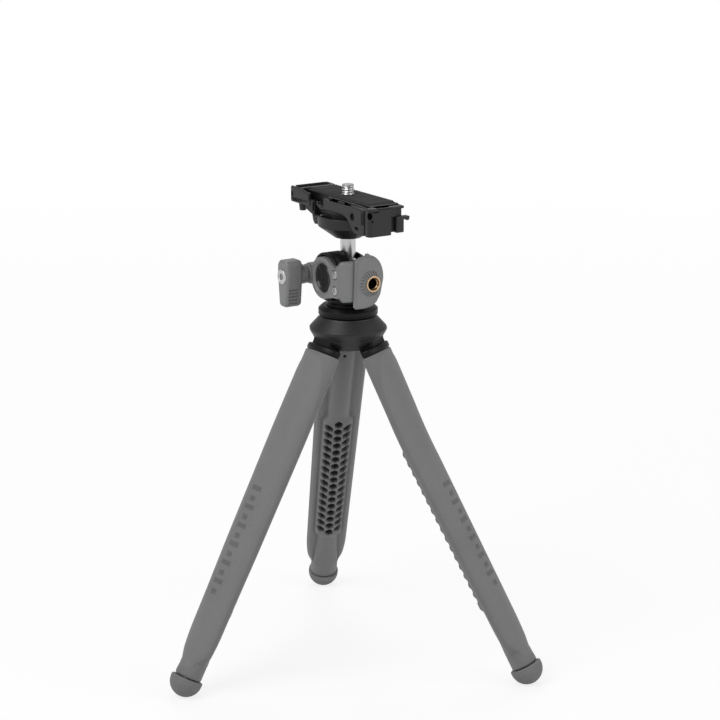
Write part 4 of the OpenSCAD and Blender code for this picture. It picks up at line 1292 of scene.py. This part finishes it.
    def grooved(self, shape: Array) -> Patch:
        """Paddle with a rounded rim at both ends and five grooves pressed into the flank on the positive side.

        Args:
            shape: Closely spaced outline of the paddle.

        Returns:
            The closed patch.
        """
        bevel, lo, hi = 1.6, self.knob_end, self.wing_y
        a = np.linspace(0, np.pi / 2, 6)
        depth = np.concatenate([bevel * (1 - np.sin(a)), np.zeros(26), bevel * (1 - np.cos(a))])
        height = np.concatenate([lo + bevel * (1 - np.cos(a)), np.linspace(lo + bevel, hi - bevel, 28)[1:-1],
                                 hi - bevel * (1 - np.sin(a))])
        rows = np.stack([np.column_stack([inset(shape, d), np.full(len(shape), h)]) for d, h in zip(depth, height)])
        along = rows[..., 1]
        ridge = 0.5 + 0.5 * np.cos((along + 6.2) * 2 * np.pi / 1.75)
        window = smooth(-14.9, -14.5, along) * (1 - smooth(-6.6, -6.2, along)) * (rows[..., 0] > 1.5)
        middle = smooth(lo + 1.7, lo + 2.3, rows[..., 2]) * (1 - smooth(hi - 2.3, hi - 1.7, rows[..., 2]))
        rows[..., 0] -= 0.6 * (1 - ridge) ** 2 * window * middle
        count, n = rows.shape[:2]
        return Patch(rows.reshape(-1, 3), grid_quads(count, n), end_fills(n, (count - 1) * n))

    def knob_screw(self) -> None:
        """Knob screw: a wide flat head with a six lobed recess."""
        a = np.arange(72) * 2 * np.pi / 72
        star = np.stack([np.cos(a), np.sin(a)], axis=1) * (1.75 + 0.3 * np.cos(6 * a))[:, None]
        y = self.knob_end
        rim = slab(circle(3.9, 64), y - 0.55, y + 0.3, 0.3, holes=[circle(3.1, 64)], hole_bevel=0.15)
        head = slab(circle(3.2, 64), y - 0.4, y + 0.3, 0.1, holes=[star], hole_bevel=0.08)
        floor = slab(circle(2.4, 24), y + 0.1, y + 0.5, 0.05)
        patch = Patch.join([p.laid(Lie.ALONG_Y, -self.knob_x, 0, 0) for p in (rim, head, floor)]).moved(self.ball)
        self.make.add("knob_screw_head", patch, STEEL, "knob", "knob_screw")

    def stem(self) -> None:
        """Chrome stem: a plain rod with small chamfers."""
        low, high, r = 1.2, self.layout.base_z + 2.5 - self.layout.ball_z, self.stem_r
        profile = rounded([(0.3, low), (r, low), (r, high), (2.1, high), (2.1, high - 3)], (0, 0.3, 0.4, 0.1, 0),
                          closed=False)
        self.make.add("stem_polished", lathe(profile, 96).moved(self.ball), CHROME, "ball", "stem")

    def build(self) -> None:
        """Builds and dresses the ball head."""
        for piece in (self.disc, self.barrel, self.band, self.badge, self.screws, self.plate, self.insert, self.collar,
                      self.knob, self.knob_screw, self.stem):
            piece()
        self.make.keep("ball", CHROME)
        self.make.keep("ball_seat", NYLON)
        for node in ("clamp_rod", "stem_screw"):
            self.make.keep(node, STEEL)


@dataclass
class Bracket:
    """Quick release bracket: dish, base, fixed arm, press lever, sliding jaw, plate, pad and camera screw."""

    layout: Layout
    make: Maker
    dish_r: float = 15.6
    dish_wall: float = 5.2
    dip: tuple[float, float, float, float] = (198.0, 207.0, 233.0, 242.0)
    jaw_corner: float = 1.96
    half: float = 11.3
    left: float = -17.0
    right: float = 31.0
    plate_left: float = -29.9
    arm_reach: float = 41.6
    nose_r: float = 5.0
    jaw_reach: float = 37.5
    plate_h: float = 4.3
    pad_h: float = 1.0
    screw_r: float = 3.175
    screw_len: float = 5.3

    def __post_init__(self) -> None:
        """Works out the places that the pieces share."""
        self.base = self.layout.base_z
        self.shelf = self.layout.shelf_z
        self.top = self.layout.top_z
        self.plate_top = self.top + self.plate_h
        self.lever_y = 3.9 - self.half

    def add(self, name: str, parts: Sequence[Patch], finish: Finish, body: str, *nodes: str) -> None:
        """Joins parts in the head's frame into one piece, as the maker's own method does with one patch."""
        self.make.add(name, Patch.join(parts).moved(self.layout.head()), finish, body, *nodes, sharp=40)

    def oval(self, x: float, y: float, radius: float, degrees: float, z: float, half: tuple[float, float]) -> Patch:
        """Thin oval that follows a round upright corner.

        Args:
            x: Centre of the corner.
            y: Centre of the corner.
            radius: Radius of the corner.
            degrees: Direction of the oval's middle from that centre.
            z: Height of its middle.
            half: Half its width along the corner and half its height.

        Returns:
            The closed patch: an inner sheet from its middle out, then an outer sheet from its rim in.
        """
        rings, sides = 5, 40
        t = np.concatenate([np.linspace(0.05, 1, rings), np.linspace(1, 0.05, rings)])[:, None]
        r = np.repeat([radius - 0.5, radius + 0.03], rings)[:, None]
        a = np.arange(sides)[None, :] * 2 * np.pi / sides
        angle = np.radians(degrees) + half[0] / radius * t * np.cos(a)
        points = np.stack([x + r * np.cos(angle), y + r * np.sin(angle), z + half[1] * t * np.sin(a)], axis=-1)
        return Patch(points.reshape(-1, 3), grid_quads(len(t), sides), end_fills(sides, (len(t) - 1) * sides))

    def dish(self) -> None:
        """Dish: a cone with a wall round its rim, hollow above, and a dip that the lever's lip comes down into."""
        lo, hi, r, w = self.layout.dish_z, self.base, self.dish_r, self.dish_wall / 2
        profile = rounded([(4.1, lo), (r * 0.44, lo), (r, hi - w), (r, hi + w), (r - 1.2, hi + w),
                           (r - 1.2, hi - 0.05), (4.1, hi - 0.05)], (0.2, 0.6, 0.9, 0.5, 0.4, 0.2, 0))
        bowl = lathe(profile, 128, tube=True)
        x, y, z = bowl.points.T
        angle = np.degrees(np.arctan2(y, x)) % 360
        dip = smooth(*self.dip[:2], angle) * (1 - smooth(*self.dip[2:], angle))
        bowl.points[:, 2] = z - dip * np.maximum(z - hi - 0.4, 0)
        self.add("dish_turned", [bowl], BLACK_PLASTIC, "bracket", "dish")

    def base_block(self) -> None:
        """Base block: a plate with a hole for the stem's screw, a stepped front and a notch at the rear."""
        y0, y1 = self.lever_y + 0.4, self.half
        plan = rounded([(self.left, y0), (self.right, y0), (self.right, y1), (-8, y1), (-8, y1 - 4.6),
                        (-13, y1 - 4.6), (-13, y1), (self.left, y1)], (0.6, 0.6, 1.0, 0.4, 0.8, 0.8, 0.4, 1.0))
        body = slab(plan, self.base + 2.4, self.shelf, 0.4, holes=[circle(6.4, 64)])
        sole = slab(bar(self.left + 0.6, y0 + 0.6, self.right - 0.6, y1 - 0.6, 1), self.base, self.base + 2.6, 0.4,
                    holes=[circle(4.15, 64)])
        self.add("base_block", [body, sole], BLACK_PLASTIC, "bracket", "bracket_base")

    def arm(self) -> None:
        """Fixed arm: a rounded nose with a painted shade oval for a hole, a pocket on top, a front wall, a peg, a skirt
        and a tab.
        """
        reach, h, hook, b = self.arm_reach, self.half, self.plate_left - 0.3, self.base
        low, top = self.shelf - 3.1, self.plate_top
        plan = rounded([(-reach, -h), (self.left - 2.4, -h), (self.left - 2.4, h), (-reach, h)],
                       (self.nose_r, 0.6, 0.8, 1.6), steps=12)
        pocket = rounded([(3.4 - reach, 2.4 - h), (hook - 0.2, 1.6 - h), (hook - 0.2, h - 2.2), (3.8 - reach, h - 2.2)],
                         (2.2, 0.6, 0.8, 1.2))
        shelf = slab(plan, low, self.shelf, 0.5)
        nose = rounded([(-reach, -h), (self.left - 3.4, -h), (self.left - 3.4, 1.7 - h), (hook + 0.9, 1.7 - h),
                        (hook + 0.9, h), (-reach, h)], (self.nose_r, 0.5, 0.4, 0.3, 0.6, 1.6), steps=12)
        end = slab(dense(nose, 1.0), low + 0.2, top + 0.9, 0.7, holes=[pocket], hole_bevel=0.4)
        along, high = end.points[:, 0].copy(), end.points[:, 2] > 0.5 * (low + top)
        end.points[:, 2] += np.where(high, -1.8, 1.4) * (1 - smooth(-reach, 5 - reach, along)) ** 2
        inner = self.left - 3.4
        end.points[:, 2] += np.where(high, -1.4 * smooth(-33, inner, along), 1.2 * smooth(-31, inner, along))
        grip = rounded([(hook - 1.2, self.shelf - 0.4), (hook, self.shelf - 0.4), (hook, self.top + 1.7),
                        (hook + 1.2, top + 0.1), (hook + 1.2, top + 0.6), (hook - 1.2, top + 0.6)], 0.15)
        lip = upright(grip, 0.6 - h, h - 0.6, 0.2)
        # Painted shade: a near black oval on the nose's corner stands for a hole.
        hole = self.oval(self.nose_r - reach, self.nose_r - h, self.nose_r, 264, top - 3.2, (1.35, 1.55))
        left = self.left
        below = rounded([(left - 9.4, low + 0.4), (left - 9.4, b + 3.2), (left - 1.0, b + 0.4), (left, b + 0.4),
                         (left, self.shelf), (left - 3.4, low + 0.4)], (0.2, 0.8, 0.8, 0.3, 0.2, 0.4))
        skirt = upright(below, 1.4 - h, h - 0.4, 0.4)
        post = upright(bar(left - 3.6, low - 2.2, left - 0.4, self.shelf, 0.6), 0.5 - h, 2.2 - h, 0.5)
        hanging = rounded([(left - 1.0, b + 1.4), (left - 0.4, b - 1.6), (left + 1.2, b - 3.6), (left + 5.0, b - 3.3),
                           (left + 5.4, b + 1.4)], (0.3, 1.0, 0.8, 0.8, 0.3))
        pinholes = [circle(0.4, 20, (left + 3.2, z)) for z in (b - 2.2, b - 0.4)]
        tab = upright(hanging, 0.6 - h, 3.0 - h, 0.6, holes=pinholes, hole_bevel=0.1)
        cone = rounded([(0.3, 0), (1.7, 0), (2.2, 4.6), (2.4, 5.2), (2.4, 6.4), (0.3, 6.4)],
                       (0, 0.5, 0.3, 0.3, 0.3, 0), closed=False)
        peg = lathe(cone, 48).moved(shift(left - 13.2, 2.6 - h, b + 1.2))
        self.add("arm_hooked", [shelf, end, lip, skirt, post, tab, peg], BLACK_PLASTIC, "bracket", "left_arm")
        self.add("arm_hole_painted_shade", [hole], DEEP_SHADE, "bracket")

    def lever(self) -> None:
        """Press lever: a handle with a curled lip, a painted shade sheet for the slot behind its rim, a deep hub with a
        pin hole, and a bar.
        """
        low, top, h, b, end = self.base + 6, self.plate_top - 0.9, self.half, self.base, self.right + 1.6
        foot = [(12.6, low - 0.3), (16, low - 1.4), (18.2, low - 3.2), (20.2, b + 0.8), (23.0, b - 1.7),
                (24.6, b - 2.2), (end - 2.4, b - 2.2), (end, b - 1.8)]
        round_foot = (3, 3, 3, 3, 2, 1, 1, 0.8)
        rim = rounded([(-6, low), *foot, (end, top), (20, top - 0.7), (-1.6, top - 0.9), (-3, top - 0.2),
                       (-6, top - 0.1)], (0.6, *round_foot, 0.6, 4, 1.5, 0.8, 0.6))
        back = rounded([(-6, low), *foot, (end, top - 0.1), (17, top + 0.6), (-6, top + 0.6)],
                       (0.6, *round_foot, 0.6, 1.5, 0.6))
        sunk = rounded([(-5.6, low + 0.1), *foot, (end - 0.1, top - 0.4), (18.4, top - 0.2), (15.4, top - 2.4),
                        (-4.4, top - 2.6), (-4.8, top - 0.9), (-5.6, top - 0.9)],
                       (0.3, *round_foot, 0.5, 0.6, 0.8, 0.4, 0.3, 0.3))
        pin = circle(1.9, 40, (21.6, b + 6.2))
        moon = rounded([(24.4, b + 0.2), (26.8, b + 0.2), (27.8, b + 1.6), (23.4, b + 1.6)], (1.0, 1.0, 0.3, 0.3))
        bent = bar(end - 1.3, b + 3.4, end - 0.5, top - 1.2, 0.3)
        front = upright(rim, -h, 1.2 - h, 0.4, holes=[pin, moon, bent], hole_bevel=0.12)
        core = upright(inset(dense(sunk, 0.8), 0.02), 1.1 - h, 2.8 - h, 0.02)
        rear = upright(back, 2.7 - h, self.lever_y, 0.3)
        bar_up = upright(bar(end - 4.4, b + 3.2, end - 2.2, top - 1.4, 0.5), -h - 0.35, 0.5 - h, 0.3)
        curl = rounded([(-13.2, low + 2.6), (-12.6, low + 0.8), (-9.6, low - 0.7), (-5, low - 0.2), (-5, low + 0.6),
                        (-9.2, low + 0.2), (-11.6, low + 1.4), (-12.2, low + 2.8)],
                       (0.3, 1.6, 3, 0.2, 0.2, 2.4, 1.2, 0.3))
        lip = upright(curl, 0.2 - h, self.lever_y - 0.3, 0.25)
        tongue = upright(bar(5.6, top - 2.2, 11.6, top + 0.1, 0.4), 1.5 - h, 2.4 - h, 0.25)
        # Painted shade: a thin near black sheet stands for the slot behind the rim.
        opening = rounded([(-2.2, top - 2.6), (14.6, top - 2.4), (16.4, top - 0.6), (11.5, top + 0.45),
                           (-1.4, top + 0.3)], (0.3, 0.5, 0.6, 0.6, 0.5))
        slot = upright(opening, 2.5 - h, 2.75 - h, 0.03)
        self.add("lever_pressed", [front, core, rear, bar_up, lip, tongue], BLACK_PLASTIC, "lever", "lever")
        self.add("lever_slot_painted_shade", [slot], DEEP_SHADE, "lever")

    def jaw(self) -> None:
        """Sliding jaw: an end block with a round front corner, a grooved outer face, a rear flange and a tab, and
        painted shade for its holes and a slot line.
        """
        x0, x1, h, low, top = self.right + 0.4, self.jaw_reach, self.half, self.base - 2.0, self.plate_top
        y0 = self.lever_y + 0.5
        block = slab(bar(x0, y0, x1 - 2.4, h - 1.6, 0.4), low + 1, top, 0.45)
        plan = rounded([(x0 + 2.1, -h), (x1, -h), (x1, 2.0), (x1 - 3.4, 2.0), (x1 - 3.4, y0 + 0.6),
                        (x0 + 2.1, y0 + 0.6)], (0.4, 2.6, 0.5, 0.2, 0.2, 0.2), steps=8)
        front = slab(plan, low, top, 0.5)
        rear = slab(bar(x1 - 2.9, 5.1, x1, h - 1.6, 0.6), low + 0.8, top - 5.4, 0.5)
        lid = slab(bar(x0, y0, x1, h - 1.6, 0.6), top - 1.4, top, 0.4)
        groove = slab(bar(x1 - 3.2, 1.6, x1 - 1.0, 5.4, 0.2), top - 5.4, top - 1.2, 0.2)
        hooked = rounded([(5.0, top - 6.2), (h - 1.8, top - 6.2), (h + 0.2, top - 7.8), (h + 1.6, top - 7.6),
                          (h + 1.8, top - 5.6), (5.0, top - 5.6)], (0.1, 0.8, 0.6, 0.6, 0.3, 0.1))
        tab = slab(hooked, x0 + 2.4, x1 - 0.1, 0.25).laid(Lie.ALONG_X)
        wedge = rounded([(x0 + 0.6, self.top + 1.9), (x0 + 0.6, top), (self.right - 0.5, top)], 0.1)
        lip = upright(wedge, y0, h - 1.7, 0.1)
        r = self.jaw_corner
        # Painted shade: near black patches stand for the hole in the round corner and for a hole and a slot line on the
        # end face.
        pit = self.oval(x1 - r, r - h, r, 315, top - 3.6, (1.4, 1.8))
        marks = [slab(shape, x1 - 0.4, x1 + 0.02, 0.01).laid(Lie.ALONG_X) for shape in
                 (circle(0.55, 24, (2.0 - h, top - 6.4)), bar(1.9 - h, top - 2.1, 5.9 - h, top - 1.6, 0.2))]
        self.add("jaw_block", [block, front, rear, lid, groove, tab, lip], BLACK_PLASTIC, "jaw", "right_jaw")
        self.add("jaw_holes_painted_shade", [pit, *marks], DEEP_SHADE, "jaw")

    def plate(self) -> None:
        """Release plate with dovetail sides, and a ribbed rubber pad on it."""
        a, b, lo, hi = self.plate_left, self.right, self.top, self.plate_top
        shape = rounded([(a, lo), (b, lo), (b, lo + 1.7), (b - 1.3, hi), (a + 1.3, hi), (a, lo + 1.7)],
                        (0.2, 0.2, 0.3, 0.4, 0.4, 0.3))
        y0, y1 = self.lever_y + 0.4, self.half
        body = upright(shape, y0, y1, 0.4)
        self.add("release_plate", [body], BLACK_METAL, "plate", "top_plate")
        rows, columns = 60, 220
        x = np.linspace(a + 3, b - 3, columns)[None, :]
        y = np.linspace(y0 + 1, y1 - 1, rows)[:, None]
        rib = 0.4 * smooth(-0.4, 0.2, np.cos(x * 2 * np.pi / 2.2)) * smooth(4.4, 4.9, np.hypot(x, y))
        edge = np.minimum(np.minimum(x - a - 3, b - 3 - x), np.minimum(y - y0 - 1, y1 - 1 - y))
        z = hi + 0.02 + (self.pad_h - 0.4 + rib) * smooth(-0.01, 0.5, edge)
        pad = Patch(np.stack([x + 0 * y, y + 0 * x, z], axis=-1).reshape(-1, 3), grid_quads(rows, columns, ring=False))
        self.add("plate_pad_ribbed", [pad], PAD_RUBBER, "plate", "plate_pad")

    def camera_screw(self) -> None:
        """Camera screw: a quarter inch thread above the pad on a plain neck and a wide head under the plate."""
        low, pad = self.top + 0.2, self.plate_top + self.pad_h
        start, high = pad + 0.3, pad + self.screw_len
        rows = np.linspace(start, high - 0.5, 46)
        foot = [(0.3, low), (5.0, low), (5.0, low + 1.7), (2.6, low + 1.7), (2.6, start - 0.4)]
        profile = np.concatenate([foot, np.column_stack([np.full(len(rows), self.screw_r), rows]),
                                  [(self.screw_r - 0.5, high), (0.3, high)]])
        relief = np.zeros((len(profile), 96))
        relief[len(foot):len(foot) + len(rows)] = thread_relief(rows, THREAD_PITCH, 0.45)
        self.add("camera_screw_threaded", [lathe(profile, 96, relief=relief)], STEEL, "screw", "camera_screw")

    def build(self) -> None:
        """Builds and dresses the bracket."""
        for piece in (self.dish, self.base_block, self.arm, self.lever, self.jaw, self.plate, self.camera_screw):
            piece()
        for node, finish in (("lever_pin", BLACK_METAL), ("guide_rods", STEEL)):
            self.make.keep(node, finish)


@dataclass
class Studio:
    """Camera, floor and lamps. The camera stands where the photograph was taken from."""

    layout: Layout
    heading: float = 5.7
    distance: float = 1119.0
    height: float = 456.0
    pitch: float = 14.70
    yaw: float = 0.317
    lens: float = 110.5
    floor_reach: float = 6.0
    fade: tuple[float, float] = (0.4, 1.4)
    world_light: float = 0.5
    aim: float = 0.13

    def camera(self) -> None:
        """Places the camera from its distance, height and angles."""
        data = bpy.data.cameras.new("camera")
        data.lens, data.sensor_width, data.clip_end = self.lens, 36.0, 50.0
        camera = bpy.data.objects.new("camera", data)
        h = np.radians(self.heading)
        camera.location = (np.array([self.layout.axis_x, self.layout.axis_y, self.height])
                           - self.distance * np.array([np.sin(h), np.cos(h), 0])) * MM
        camera.rotation_euler = np.radians([90 - self.pitch, 0, -self.heading - self.yaw])
        bpy.context.scene.collection.objects.link(camera)
        bpy.context.scene.camera = camera

    def lamp(self, name: str, azimuth: float, height: float, distance: float, size: float, power: float) -> None:
        """Square lamp that faces the object.

        Args:
            name: Name of the lamp.
            azimuth: Direction from the object in degrees, counterclockwise from +X.
            height: Height above the floor in metres.
            distance: Level distance in metres.
            size: Side in metres.
            power: Power in watts.
        """
        data = bpy.data.lights.new(name, "AREA")
        data.size, data.energy = size, power
        lamp = bpy.data.objects.new(name, data)
        a = np.radians(azimuth)
        lamp.location = (distance * np.cos(a), distance * np.sin(a), height)
        lamp.rotation_euler = (Vector((0, 0, self.aim)) - lamp.location).to_track_quat("-Z", "Y").to_euler()
        bpy.context.scene.collection.objects.link(lamp)

    def floor(self) -> None:
        """Pale floor that keeps a shadow and shows whiter to the camera with distance, so its far edge is not seen."""
        mesh = bpy.data.meshes.new("floor")
        r = self.floor_reach
        mesh.from_pydata([(-r, -r, 0), (r, -r, 0), (r, r, 0), (-r, r, 0)], [], [(0, 1, 2, 3)])
        floor = bpy.data.objects.new("floor", mesh)
        made = bpy.data.materials.new("floor_white")
        made.use_nodes = True
        graph, nodes = Graph(made.node_tree), made.node_tree.nodes
        shader = nodes["Principled BSDF"]
        shader.inputs["Base Color"].default_value = (0.82, 0.82, 0.82, 1)
        shader.inputs["Roughness"].default_value = 0.9
        shader.inputs["Specular IOR Level"].default_value = 0.1
        glow, mix, seen, place, far = (graph.new(kind) for kind in
                                       ("Emission", "MixShader", "LightPath", "TexCoord", "VectorMath"))
        far.operation = "LENGTH"
        graph.link(place.outputs["Object"], far.inputs[0])
        rise = graph.ranged(far.outputs["Value"], self.fade, 0.8, 1.0)
        either = graph.math("ADD", seen.outputs["Is Camera Ray"], seen.outputs["Is Glossy Ray"], clamp=True)
        graph.link(graph.math("MULTIPLY", either, rise), mix.inputs["Fac"])
        graph.link(shader.outputs["BSDF"], mix.inputs[1])
        graph.link(glow.outputs["Emission"], mix.inputs[2])
        graph.link(mix.outputs["Shader"], nodes["Material Output"].inputs["Surface"])
        mesh.materials.append(made)
        bpy.context.scene.collection.objects.link(floor)

    def world(self) -> None:
        """Even pale surroundings that show white to the camera."""
        world = bpy.data.worlds.new("studio")
        world.use_nodes = True
        graph, nodes = Graph(world.node_tree), world.node_tree.nodes
        light, white = nodes["Background"], graph.new("Background")
        for lamp, strength in ((light, self.world_light), (white, 1.0)):
            lamp.inputs["Color"].default_value = (1, 1, 1, 1)
            lamp.inputs["Strength"].default_value = strength
        mix, seen = graph.new("MixShader"), graph.new("LightPath")
        graph.link(seen.outputs["Is Camera Ray"], mix.inputs["Fac"])
        graph.link(light.outputs["Background"], mix.inputs[1])
        graph.link(white.outputs["Background"], mix.inputs[2])
        graph.link(mix.outputs["Shader"], nodes["World Output"].inputs["Surface"])
        bpy.context.scene.world = world

    def build(self) -> None:
        """Sets up the whole studio."""
        self.camera()
        self.floor()
        self.world()
        self.lamp("key", 215, 1.5, 1.3, 1.2, 20)
        self.lamp("fill", 330, 0.9, 1.6, 1.4, 10)
        self.lamp("back", 80, 1.6, 1.2, 1.0, 10)
        bpy.context.scene.view_settings.view_transform = "Standard"


def main() -> None:
    """Builds the pieces in order."""
    layout = Layout()
    make = Maker()
    Studio(layout).build()
    for k, letter in enumerate("abc"):
        Leg(layout, make, letter, k).build()
    for assembly in (Hub, BallHead, Bracket):
        assembly(layout, make).build()


if __name__ == "__main__":
    main()
